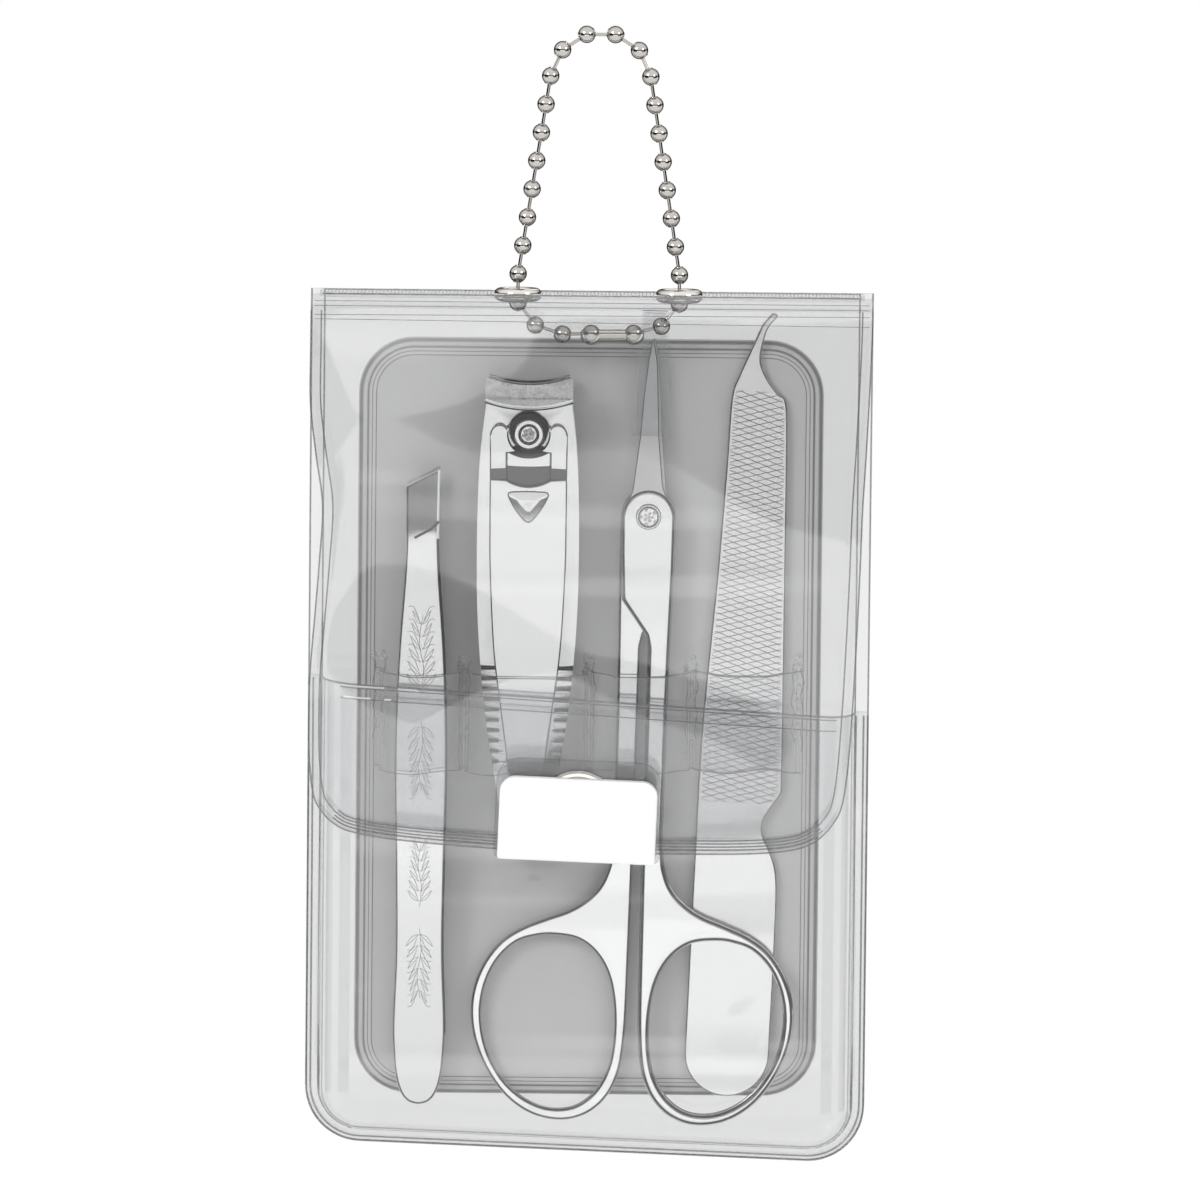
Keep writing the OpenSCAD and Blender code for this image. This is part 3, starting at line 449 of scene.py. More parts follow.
def scuff_group():
    """Thin straight rubbing marks from handling, as a mask from 0 to 1."""
    tree, n, gin, gout = new_group(
        "Handling scuffs", "ShaderNodeTree",
        [("Scale", "NodeSocketFloat", 160.0), ("Amount", "NodeSocketFloat", 0.5)],
        [("Mask", "NodeSocketFloat")])
    where = n.add("ShaderNodeTexCoord")
    masks = []
    for turn, seed in ((0.5, 1.0), (-1.0, 7.0), (2.0, 13.0)):
        place = n.add("ShaderNodeMapping")
        place.inputs["Rotation"].default_value = (0, turn, 0)
        place.inputs["Location"].default_value = (seed, seed, seed)
        place.inputs["Scale"].default_value = (0.05, 1.0, 1.0)
        tex = n.add("ShaderNodeTexNoise", {"Detail": 1.0})
        limit = n.add("ShaderNodeMapRange", {"From Min": 0.66, "From Max": 0.74})
        n.link(where.outputs["Object"], place.inputs["Vector"])
        n.link(place.outputs["Vector"], tex.inputs["Vector"])
        n.link(gin.outputs["Scale"], tex.inputs["Scale"])
        n.link(tex.outputs["Fac"], limit.inputs["Value"])
        masks.append(limit.outputs["Result"])
    top = n.add("ShaderNodeMath", operation="MAXIMUM")
    last = n.add("ShaderNodeMath", operation="MAXIMUM")
    out = n.add("ShaderNodeMath", operation="MULTIPLY")
    n.link(masks[0], top.inputs[0])
    n.link(masks[1], top.inputs[1])
    n.link(top.outputs[0], last.inputs[0])
    n.link(masks[2], last.inputs[1])
    n.link(last.outputs[0], out.inputs[0])
    n.link(gin.outputs["Amount"], out.inputs[1])
    n.link(out.outputs[0], gout.inputs["Mask"])
    return tree


def group_node(n, build, values):
    """A material's own copy of a shared group, built the first time it is asked for."""
    name = {"grain_group": "Fine grain", "scuff_group": "Handling scuffs"}[build.__name__]
    tree = bpy.data.node_groups.get(name) or build()
    node = n.add("ShaderNodeGroup", node_tree=tree)
    for k, v in values.items():
        node.inputs[k].default_value = v
    return node


def new_material(name):
    """An empty node material and its output node."""
    mat = bpy.data.materials.new(name)
    mat.use_nodes = True
    mat.node_tree.nodes.clear()
    n = Nodes(mat.node_tree)
    return mat, n, n.add("ShaderNodeOutputMaterial")


def surface(name, colour, metallic, rough, spread=0.06, rough_spread=0.08, grain=4000.0, cloud=90.0, bump=0.0,
            bump_size=0.00002, coat=0.0, scuffs=0.15, rim=1.0, line=1.0):
    """A Principled material with grain in its colour, roughness and height; rim paints shade where it turns away from
    the view, line paints dark lines of shade along marked rims.
    """
    mat, n, out = new_material(name)
    shader = n.add("ShaderNodeBsdfPrincipled", {"Metallic": metallic, "Coat Weight": coat, "Coat Roughness": 0.15})
    grain_node = group_node(n, grain_group, {"Grain Scale": grain, "Cloud Scale": cloud, "Cloud Share": 0.5})
    scuff = group_node(n, scuff_group, {"Amount": scuffs})
    lo = [max(c * (1 - spread), 0) for c in colour]
    hi = [min(c * (1 + spread), 1) for c in colour]
    tone = n.add("ShaderNodeMix", data_type="RGBA")
    tone.inputs[6].default_value = (*lo, 1)
    tone.inputs[7].default_value = (*hi, 1)
    n.link(grain_node.outputs["Mask"], tone.inputs[0])
    # Painted shade: the marked rims darken the colour towards line, standing in for the dark reflections of rounded
    # edges.
    if line < 1:
        marked = n.add("ShaderNodeAttribute", attribute_name="rim")
        shade = n.add("ShaderNodeMapRange", {"To Min": 1.0, "To Max": line})
        dim = n.add("ShaderNodeMix", data_type="RGBA", blend_type="MULTIPLY")
        dim.inputs[0].default_value = 1.0
        n.link(marked.outputs["Fac"], shade.inputs["Value"])
        n.link(tone.outputs[2], dim.inputs[6])
        n.link(shade.outputs["Result"], dim.inputs[7])
        n.link(dim.outputs[2], shader.inputs["Base Color"])
    # Painted shade: colour and reflection tint darken towards rim where the surface turns away from the view.
    elif rim < 1:
        facing = n.add("ShaderNodeLayerWeight", {"Blend": 0.5})
        turn = n.add("ShaderNodeMapRange", {"From Min": 0.32, "From Max": 0.75, "To Min": 1.0, "To Max": rim})
        dim = n.add("ShaderNodeMix", data_type="RGBA", blend_type="MULTIPLY")
        dim.inputs[0].default_value = 1.0
        n.link(facing.outputs["Facing"], turn.inputs["Value"])
        n.link(tone.outputs[2], dim.inputs[6])
        n.link(turn.outputs["Result"], dim.inputs[7])
        n.link(dim.outputs[2], shader.inputs["Base Color"])
        shader.inputs["Specular Tint"].default_value = (rim, rim, rim, 1)
    else:
        n.link(tone.outputs[2], shader.inputs["Base Color"])
    ramp = n.add("ShaderNodeMapRange", {"From Min": 0.3, "From Max": 0.7, "To Min": rough - rough_spread / 2,
                                        "To Max": rough + rough_spread / 2})
    add = n.add("ShaderNodeMath", operation="ADD")
    n.link(grain_node.outputs["Mask"], ramp.inputs["Value"])
    n.link(ramp.outputs["Result"], add.inputs[0])
    n.link(scuff.outputs["Mask"], add.inputs[1])
    n.link(add.outputs[0], shader.inputs["Roughness"])
    if bump:
        b = n.add("ShaderNodeBump", {"Strength": bump, "Distance": bump_size})
        n.link(grain_node.outputs["Height"], b.inputs["Height"])
        n.link(b.outputs["Normal"], shader.inputs["Normal"])
    n.link(shader.outputs["BSDF"], out.inputs["Surface"])
    return mat


def film(name, through, haze=0.03, rough=0.03, ripple=0.12, ripple_scale=60.0, steep=0.55, edge=0.5, gloss=True):
    """Clear vinyl: light passes with a slight tint and the skin reflects; the tint deepens where the skin turns away,
    as painted shade for the dark edges that bent light gives.
    """
    mat, n, out = new_material(name)
    grain_node = group_node(n, grain_group, {"Grain Scale": 2600.0, "Cloud Scale": ripple_scale, "Cloud Share": 0.985})
    bump = n.add("ShaderNodeBump", {"Strength": ripple, "Distance": 0.0003})
    scuff = group_node(n, scuff_group, {"Amount": 0.05})
    # Painted shade: the tint darkens by edge where the skin turns away from the view.
    facing = n.add("ShaderNodeLayerWeight", {"Blend": 0.5})
    turn = n.add("ShaderNodeMapRange", {"From Min": steep, "From Max": 0.97})
    tone = n.add("ShaderNodeMix", data_type="RGBA")
    tone.inputs[6].default_value = (*through, 1)
    tone.inputs[7].default_value = (*(c * edge for c in through), 1)
    clear = n.add("ShaderNodeBsdfTransparent")
    skin = n.add("ShaderNodeBsdfPrincipled", {"Base Color": (0.95, 0.952, 0.955, 1), "Metallic": 0.7,
                                              "Roughness": rough})
    share = n.add("ShaderNodeMath", operation="ADD", use_clamp=True)
    share.inputs[1].default_value = haze
    mix = n.add("ShaderNodeMixShader")
    n.link(grain_node.outputs["Mask"], bump.inputs["Height"])
    n.link(bump.outputs["Normal"], skin.inputs["Normal"])
    n.link(facing.outputs["Facing"], turn.inputs["Value"])
    n.link(turn.outputs["Result"], tone.inputs[0])
    path = n.add("ShaderNodeLightPath")
    lit = n.add("ShaderNodeMath", operation="MAXIMUM")
    lit.inputs[1].default_value = 0.0
    n.link(path.outputs["Is Shadow Ray"], lit.inputs[0])
    n.link(path.outputs["Is Diffuse Ray"], lit.inputs[1])
    passed = n.add("ShaderNodeMix", data_type="RGBA")
    passed.inputs[7].default_value = (0.97, 0.97, 0.97, 1)
    n.link(lit.outputs[0], passed.inputs[0])
    n.link(tone.outputs[2], passed.inputs[6])
    n.link(passed.outputs[2], clear.inputs["Color"])
    seen = n.add("ShaderNodeMath", operation="SUBTRACT")
    seen.inputs[0].default_value = 1.0
    n.link(lit.outputs[0], seen.inputs[1])
    kept = n.add("ShaderNodeMath", operation="MULTIPLY")
    n.link(seen.outputs[0], kept.inputs[1])
    if gloss:
        fresnel = n.add("ShaderNodeFresnel")
        inside = n.add("ShaderNodeNewGeometry")
        bend = n.add("ShaderNodeMapRange", {"To Min": 1.45, "To Max": 1 / 1.45})
        n.link(inside.outputs["Backfacing"], bend.inputs["Value"])
        n.link(bend.outputs["Result"], fresnel.inputs["IOR"])
        both = n.add("ShaderNodeMath", operation="ADD")
        n.link(bump.outputs["Normal"], fresnel.inputs["Normal"])
        n.link(fresnel.outputs["Fac"], both.inputs[0])
        n.link(scuff.outputs["Mask"], both.inputs[1])
        n.link(both.outputs[0], share.inputs[0])
    else:
        n.link(scuff.outputs["Mask"], share.inputs[0])
    n.link(share.outputs[0], kept.inputs[0])
    n.link(kept.outputs[0], mix.inputs["Fac"])
    n.link(clear.outputs["BSDF"], mix.inputs[1])
    n.link(skin.outputs["BSDF"], mix.inputs[2])
    n.link(mix.outputs["Shader"], out.inputs["Surface"])
    return mat


MATERIALS = {}


def finish_of(name):
    """A finish by its maker's name, made on first use."""
    if name in MATERIALS:
        return MATERIALS[name]
    c = bpy.context.scene.case_colours
    makers = {
        # line and rim paint shade: dark lines on the marked rims, and darkening where a surface turns away.
        "Polished steel": lambda: surface(name, c.steel, 1.0, 0.16, spread=0.02, rough_spread=0.04, cloud=60.0,
                                          bump=0.05, bump_size=0.00001, scuffs=0.08, line=0.03),
        "Chrome steel": lambda: surface(name, c.steel, 1.0, 0.08, spread=0.02, rough_spread=0.03, scuffs=0.08,
                                        line=0.02),
        "Frosted steel": lambda: surface(name, (0.74, 0.74, 0.74), 1.0, 0.4, spread=0.2, rough_spread=0.12,
                                         grain=7000.0, bump=0.5, scuffs=0.1, line=0.08),
        "Ground steel": lambda: surface(name, (0.6, 0.6, 0.6), 1.0, 0.28, spread=0.45, rough_spread=0.2,
                                        grain=2500.0, cloud=900.0, bump=0.6, scuffs=0.5, rim=0.5),
        "Engraved line": lambda: surface(name, (0.12, 0.12, 0.12), 0.3, 0.6, spread=0.15, scuffs=0.0),
        "File cuts": lambda: surface(name, (0.05, 0.05, 0.05), 0.3, 0.6, spread=0.15, scuffs=0.0),
        "Nickel plate": lambda: surface(name, c.nickel, 1.0, 0.06, spread=0.05, rough_spread=0.04, scuffs=0.15,
                                        rim=0.3),
        "Chain nickel": lambda: surface(name, [x * 0.74 for x in c.nickel], 1.0, 0.07, spread=0.08,
                                        rough_spread=0.04, scuffs=0.15, rim=0.06),
        # Painted highlight: a pale colour laid on thin beads where an edge would catch a glint.
        "Painted highlight": lambda: surface(name, (0.93, 0.93, 0.93), 0.5, 0.4, spread=0.03, scuffs=0.0),
        # Painted shade: a dark steel colour laid on strips, steps and grooves where there is only shade.
        "Painted shade steel": lambda: surface(name, (0.1, 0.1, 0.1), 0.8, 0.3, spread=0.1, scuffs=0.1),
        # Painted shadow: near black laid in gaps, rings and lines where there is only shade.
        "Painted shade black": lambda: surface(name, (0.02, 0.02, 0.02), 0.3, 0.4, spread=0.3, scuffs=0.1),
        "Grey card": lambda: surface(name, c.board, 0.0, 0.6, spread=0.08, rough_spread=0.1, grain=3600.0,
                                     cloud=70.0, bump=0.3, bump_size=0.00005, scuffs=0.05, line=0.3),
        "White plastic": lambda: surface(name, c.tab, 0.0, 0.4, spread=0.012, rough_spread=0.06, coat=0.15,
                                         bump=0.05),
        "Clear vinyl": lambda: film(name, c.vinyl),
        "Pocket vinyl": lambda: film(name, [x * 1.025 for x in c.vinyl], haze=0.012, ripple=0.14, edge=0.75),
        "Rear vinyl": lambda: film(name, c.vinyl, haze=0.02),
        "Gusset vinyl": lambda: film(name, [x * 1.05 for x in c.vinyl], haze=0.1, rough=0.2, ripple=0.3,
                                     ripple_scale=700.0, steep=0.92, edge=0.8, gloss=False),
        "Pressed vinyl": lambda: film(name, [x * 0.66 for x in c.vinyl], haze=0.06, rough=0.15, steep=0.4,
                                      edge=0.6),
        "Strap vinyl": lambda: film(name, (0.975, 0.976, 0.977), haze=0.012, ripple=0.3, ripple_scale=160.0),
        "Band vinyl": lambda: film(name, (0.84, 0.842, 0.845), haze=0.01, ripple=0.05, edge=0.9),
        "Welded vinyl": lambda: film(name, (0.86, 0.865, 0.87), haze=0.16, rough=0.12, ripple=0.4,
                                     ripple_scale=900.0, steep=0.4, edge=0.5),
        "Guard vinyl": lambda: film(name, (0.95, 0.952, 0.954), haze=0.02, rough=0.1),
    }
    MATERIALS[name] = makers[name]()
    return MATERIALS[name]


def dress(node, finish):
    """Gives a CAD node its finish."""
    obj = frame["nodes"][node]
    obj.data.materials.clear()
    obj.data.materials.append(finish_of(finish))


def softened(node, name, finish, width, angle=35):
    """A new piece with a CAD node's shape and rounded edges; width is in millimetres."""
    mesh = frame["nodes"][node].data.copy()
    mesh.name = name
    work = bmesh.new()
    work.from_mesh(mesh)
    bmesh.ops.remove_doubles(work, verts=work.verts, dist=1e-6)
    bmesh.ops.dissolve_limit(work, angle_limit=math.radians(0.6), verts=work.verts, edges=work.edges)
    work.to_mesh(mesh)
    work.free()
    mesh.materials.clear()
    raw = bpy.data.objects.new(name + "_raw", mesh)
    bpy.context.scene.collection.objects.link(raw)
    bevel = raw.modifiers.new("Round", "BEVEL")
    bevel.limit_method = "ANGLE"
    bevel.angle_limit = math.radians(angle)
    bevel.width = width * MM
    bevel.segments = 3
    depsgraph = bpy.context.evaluated_depsgraph_get()
    made = bpy.data.meshes.new_from_object(raw.evaluated_get(depsgraph), depsgraph=depsgraph)
    made.name = name
    bpy.data.objects.remove(raw)
    made.shade_smooth()
    mark_rims(made, np.array([v.vector for v in made.vertex_normals]))
    made.set_sharp_from_angle(angle=math.radians(40))
    made.materials.clear()
    made.materials.append(finish_of(finish))
    obj = bpy.data.objects.new(name, made)
    bpy.context.scene.collection.objects.link(obj)
    return obj


def settle(obj, body, slot, *nodes):
    """Rides the piece on its body and hides the nodes that it stands for; its slot is not used."""
    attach(obj, body)
    if nodes:
        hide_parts(*nodes)
    return obj


# ---------------------------------------------------------------- repeating pieces by geometry nodes
def spread_tree(name, build):
    """Puts copies of a small shape, turned about y, on the points of a mesh."""
    tree = bpy.data.node_groups.new(name, "GeometryNodeTree")
    tree.interface.new_socket("Geometry", in_out="INPUT", socket_type="NodeSocketGeometry")
    tree.interface.new_socket("Geometry", in_out="OUTPUT", socket_type="NodeSocketGeometry")
    n = Nodes(tree)
    gin, gout = n.add("NodeGroupInput"), n.add("NodeGroupOutput")
    shape, sizes = build(tree, n, gin)
    turn = n.add("GeometryNodeInputNamedAttribute", data_type="FLOAT")
    turn.inputs["Name"].default_value = "turn"
    long = n.add("GeometryNodeInputNamedAttribute", data_type="FLOAT")
    long.inputs["Name"].default_value = "long"
    spin = n.add("ShaderNodeCombineXYZ")
    size = n.add("ShaderNodeCombineXYZ", {"X": 1.0, "Y": 1.0})
    place = n.add("GeometryNodeInstanceOnPoints")
    real = n.add("GeometryNodeRealizeInstances")
    smooth = n.add("GeometryNodeSetShadeSmooth")
    paint = n.add("GeometryNodeSetMaterial")
    material = tree.interface.new_socket("Material", in_out="INPUT", socket_type="NodeSocketMaterial")
    n.link(gin.outputs["Geometry"], place.inputs["Points"])
    n.link(shape, place.inputs["Instance"])
    n.link(turn.outputs["Attribute"], spin.inputs["Y"])
    n.link(spin.outputs["Vector"], place.inputs["Rotation"])
    n.link(long.outputs["Attribute"], size.inputs["Z"])
    n.link(size.outputs["Vector"], place.inputs["Scale"])
    n.link(place.outputs["Instances"], real.inputs["Geometry"])
    n.link(real.outputs["Geometry"], smooth.inputs["Geometry"])
    n.link(smooth.outputs["Geometry"], paint.inputs["Geometry"])
    n.link(gin.outputs["Material"], paint.inputs["Material"])
    n.link(paint.outputs["Geometry"], gout.inputs["Geometry"])
    return tree


def float_input(tree, name, default):
    """A named size on a geometry tree."""
    s = tree.interface.new_socket(name, in_out="INPUT", socket_type="NodeSocketFloat")
    s.default_value = default
    return s


def half_of(n, out):
    """Half of a size."""
    m = n.add("ShaderNodeMath", operation="MULTIPLY")
    m.inputs[1].default_value = 0.5
    n.link(out, m.inputs[0])
    return m.outputs[0]


def spread(name, tree, points, turns, lengths, values, material, sharp=None):
    """Runs a spreading tree on points (metres) and returns the plain mesh object."""
    mesh = bpy.data.meshes.new(name + "_points")
    mesh.from_pydata([tuple(p) for p in points], [], [])
    for key, data in (("turn", turns), ("long", lengths)):
        mesh.attributes.new(key, "FLOAT", "POINT").data.foreach_set("value", [float(x) for x in data])
    return evaluated(name, mesh, tree, values, material, sharp)


def ball_shape(tree, n, gin):
    """A rolled ball with a raised lip round each of its two holes."""
    float_input(tree, "Ball Diameter", 0.002)
    float_input(tree, "Hole Diameter", 0.0008)
    ball = n.add("GeometryNodeMeshUVSphere", {"Segments": 36, "Rings": 22})
    ring = n.add("GeometryNodeCurvePrimitiveCircle", {"Resolution": 24})
    wire = n.add("GeometryNodeCurvePrimitiveCircle", {"Resolution": 8, "Radius": 0.00007})
    lip = n.add("GeometryNodeCurveToMesh")
    join = n.add("GeometryNodeJoinGeometry")
    n.link(half_of(n, gin.outputs["Ball Diameter"]), ball.inputs["Radius"])
    n.link(half_of(n, gin.outputs["Hole Diameter"]), ring.inputs["Radius"])
    n.link(ring.outputs["Curve"], lip.inputs["Curve"])
    n.link(wire.outputs["Curve"], lip.inputs["Profile Curve"])
    n.link(ball.outputs["Mesh"], join.inputs[0])
    for side in (-1, 1):
        shift = n.add("GeometryNodeTransform")
        shift.inputs["Translation"].default_value = (0, 0, side * 0.00091)
        n.link(lip.outputs["Mesh"], shift.inputs["Geometry"])
        n.link(shift.outputs["Geometry"], join.inputs[0])
    return join.outputs[0], None


def link_shape(tree, n, gin):
    """A wire link, a plain round rod."""
    float_input(tree, "Wire Diameter", 0.00038)
    float_input(tree, "Length", 0.0016)
    rod = n.add("GeometryNodeMeshCylinder", {"Vertices": 16})
    n.link(half_of(n, gin.outputs["Wire Diameter"]), rod.inputs["Radius"])
    n.link(gin.outputs["Length"], rod.inputs["Depth"])
    return rod.outputs["Mesh"], None


def ridge_shape(tree, n, gin):
    """A three-sided ridge of unit length, lying along z with its foot on y = 0."""
    float_input(tree, "Height", 0.00005)
    rod = n.add("GeometryNodeMeshCylinder", {"Vertices": 3, "Depth": 1.0})
    n.link(gin.outputs["Height"], rod.inputs["Radius"])
    turn = n.add("GeometryNodeTransform")
    turn.inputs["Rotation"].default_value = (0, 0, math.radians(-90))
    n.link(rod.outputs["Mesh"], turn.inputs["Geometry"])
    return turn.outputs["Geometry"], None


def knot_shape(tree, n, gin):
    """A small flattened pip of melted vinyl."""
    float_input(tree, "Width", 0.0005)
    pip = n.add("GeometryNodeMeshUVSphere", {"Segments": 12, "Rings": 8})
    flat = n.add("GeometryNodeTransform")
    flat.inputs["Scale"].default_value = (1.0, 0.35, 1.0)
    n.link(half_of(n, gin.outputs["Width"]), pip.inputs["Radius"])
    n.link(pip.outputs["Mesh"], flat.inputs["Geometry"])
    return flat.outputs["Geometry"], None


def bead_tree():
    """A half-sunk round bead along the lines of a mesh."""
    tree = bpy.data.node_groups.new("Pressed bead", "GeometryNodeTree")
    tree.interface.new_socket("Geometry", in_out="INPUT", socket_type="NodeSocketGeometry")
    float_input(tree, "Bead Width", 0.00025)
    tree.interface.new_socket("Material", in_out="INPUT", socket_type="NodeSocketMaterial")
    tree.interface.new_socket("Geometry", in_out="OUTPUT", socket_type="NodeSocketGeometry")
    n = Nodes(tree)
    gin, gout = n.add("NodeGroupInput"), n.add("NodeGroupOutput")
    path = n.add("GeometryNodeMeshToCurve")
    ring = n.add("GeometryNodeCurvePrimitiveCircle", {"Resolution": 8})
    tube = n.add("GeometryNodeCurveToMesh", {"Fill Caps": True})
    real = n.add("GeometryNodeRealizeInstances")
    smooth = n.add("GeometryNodeSetShadeSmooth")
    paint = n.add("GeometryNodeSetMaterial")
    n.link(half_of(n, gin.outputs["Bead Width"]), ring.inputs["Radius"])
    n.link(gin.outputs["Geometry"], path.inputs["Mesh"])
    n.link(path.outputs["Curve"], tube.inputs["Curve"])
    n.link(ring.outputs["Curve"], tube.inputs["Profile Curve"])
    n.link(tube.outputs["Mesh"], real.inputs["Geometry"])
    n.link(real.outputs["Geometry"], smooth.inputs["Geometry"])
    n.link(smooth.outputs["Geometry"], paint.inputs["Geometry"])
    n.link(gin.outputs["Material"], paint.inputs["Material"])
    n.link(paint.outputs["Geometry"], gout.inputs["Geometry"])
    return tree


def evaluated(name, mesh, tree, values, material, sharp=None):
    """Runs a geometry tree on a mesh and returns the plain mesh object."""
    seeds = bpy.data.objects.new(name + "_seeds", mesh)
    bpy.context.scene.collection.objects.link(seeds)
    mod = seeds.modifiers.new("Nodes", "NODES")
    mod.node_group = tree
    ids = {s.name: s.identifier for s in tree.interface.items_tree if s.in_out == "INPUT"}
    for key, value in {**values, "Material": material}.items():
        mod[ids[key]] = value
    depsgraph = bpy.context.evaluated_depsgraph_get()
    made = bpy.data.meshes.new_from_object(seeds.evaluated_get(depsgraph), depsgraph=depsgraph)
    made.name = name
    for key in ("turn", "long"):
        if made.attributes.get(key):
            made.attributes.remove(made.attributes[key])
    seeds.modifiers.remove(mod)
    bpy.data.objects.remove(seeds)
    bpy.data.meshes.remove(mesh)
    made.materials.clear()
    made.materials.append(material)
    if sharp is not None:
        made.set_sharp_from_angle(angle=math.radians(sharp))
    obj = bpy.data.objects.new(name, made)
    bpy.context.scene.collection.objects.link(obj)
    return obj


def beads(name, lines, width, finish):
    """Beads along lines of frame points in millimetres."""
    verts, edges = [], []
    for line in lines:
        start = len(verts)
        verts += [tuple(np.asarray(q) * MM) for q in line]
        edges += [(i, i + 1) for i in range(start, len(verts) - 1)]
    mesh = bpy.data.meshes.new(name + "_path")
    mesh.from_pydata(verts, edges, [])
    tree = bpy.data.node_groups.get("Pressed bead") or bead_tree()
    return evaluated(name, mesh, tree, {"Bead Width": width * MM}, finish_of(finish))


def spread_of(name, build):
    """A spreading tree by name, built once."""
    return bpy.data.node_groups.get(name) or spread_tree(name, build)


# ---------------------------------------------------------------- the ball chain
SIDE_BALLS = 10
UPPER_BALLS = 5
CROWN_BEND = 33.0
STRAND_ANGLE = 81.2
LEFT_TURNS = (38, 72, 92)
RIGHT_TURNS = (38, 75)


def link_angle(turns, k):
    """How far link k leans down from level, in degrees."""
    if k < SIDE_BALLS:
        return min(k * CROWN_BEND, STRAND_ANGLE)
    return 90 if k == SIDE_BALLS else 90 + turns[k - SIDE_BALLS - 1]


def chain_line(turns, pitch):
    """Ball middles down one side of the loop, as (x, z) in the unit of pitch."""
    balls = [(pitch / 2, 0.0)]
    for k in range(1, SIDE_BALLS + len(turns) + 1):
        a = math.radians(link_angle(turns, k))
        balls.append((balls[-1][0] + pitch * math.cos(a), balls[-1][1] - pitch * math.sin(a)))
    return balls


def ball_angle(turns, k):
    """Lean of a ball's own hole, in degrees."""
    if k == SIDE_BALLS + len(turns):
        return link_angle(turns, k)
    return (link_angle(turns, k) + link_angle(turns, k + 1)) / 2


def chain_seeds(spans, pitch):
    """Seeds for balls and for links, from spans of (side, turns, first ball, last ball, crown link too)."""
    balls, links = [], []
    for side, turns, first, last, crown in spans:
        line = chain_line(turns, pitch)
        for k in range(first, last + 1):
            x, z = line[k]
            balls.append(((side * x, 0, z), side * math.radians(90 + ball_angle(turns, k))))
            if k > 0:
                px, pz = line[k - 1]
                links.append(((side * (x + px) / 2, 0, (z + pz) / 2),
                              side * math.radians(90 + link_angle(turns, k))))
        if crown:
            links.append(((0, 0, 0), math.radians(90)))
    return balls, links


# ---------------------------------------------------------------- operators
class MANICURE_OT_stage(bpy.types.Operator):
    """Make the camera, the lamps, the studio world and the floor"""
    bl_idname = "manicure.stage"
    bl_label = "Stage"

    def execute(self, context):
        scene = context.scene
        scene.view_settings.view_transform = "Standard"
        scene.cycles.transparent_max_bounces = 40
        camera_and_lamps(scene)
        studio_world(scene)
        floor_piece()
        return {"FINISHED"}


def camera_and_lamps(scene):
    """Long lens at the photograph's angle and two soft lamps."""
    data = bpy.data.cameras.new("Camera")
    data.sensor_width = 36
    distance, elevation, roll = 1.3, math.radians(5.2), math.radians(0.57)
    frame_width = 0.1365
    data.lens = 36 * distance / frame_width
    data.clip_start, data.clip_end = 0.05, 30
    cam = bpy.data.objects.new("Camera", data)
    scene.collection.objects.link(cam)
    target = Vector((0.0005, 0, -0.0643))
    back = Vector((0, -math.cos(elevation), math.sin(elevation)))
    turn = (-back).to_track_quat("-Z", "Y").to_matrix() @ Matrix.Rotation(roll, 3, "Z")
    cam.matrix_world = Matrix.Translation(target + back * distance) @ turn.to_4x4()
    scene.camera = cam
    for name, spot, size, power in (("Key", (-0.75, -0.85, 0.55), 0.4, 5.0), ("Fill", (0.85, -0.75, 0.35), 0.5, 1.5),
                                    ("Back", (0.2, 0.9, 0.5), 0.6, 3.0)):
        lamp = bpy.data.lights.new(name, "AREA")
        lamp.shape = "DISK"
        lamp.size = size
        lamp.energy = power
        obj = bpy.data.objects.new(name, lamp)
        scene.collection.objects.link(obj)
        spot = Vector(spot)
        obj.location = spot
        obj.rotation_euler = (spot - Vector((0, 0, -0.07))).to_track_quat("Z", "Y").to_euler()


SKY_STOPS = [(0.0, 0.68), (0.33, 0.72), (0.37, 1.0), (0.4755, 1.0), (0.477, 0.07), (0.56, 0.07), (0.564, 0.3),
             (0.60, 0.35), (0.63, 0.72), (1.0, 0.76)]
TURN_STOPS = [(0.0, 1.0), (0.165, 1.0), (0.18, 0.05), (0.46, 0.06), (0.5, 0.95), (0.62, 0.9), (0.65, 0.25),
              (0.76, 0.25), (0.79, 0.95), (1.0, 1.0)]
TENT = 1.36


def stepped(n, stops):
    """A colour ramp node with grey stops."""
    ramp = n.add("ShaderNodeValToRGB")
    ramp.color_ramp.elements[0].position = stops[0][0]
    ramp.color_ramp.elements[1].position = stops[-1][0]
    for pos, _ in stops[1:-1]:
        ramp.color_ramp.elements.new(pos)
    for e, (_, v) in zip(sorted(ramp.color_ramp.elements, key=lambda e: e.position), stops):
        e.color = (v, v, v, 1)
    return ramp


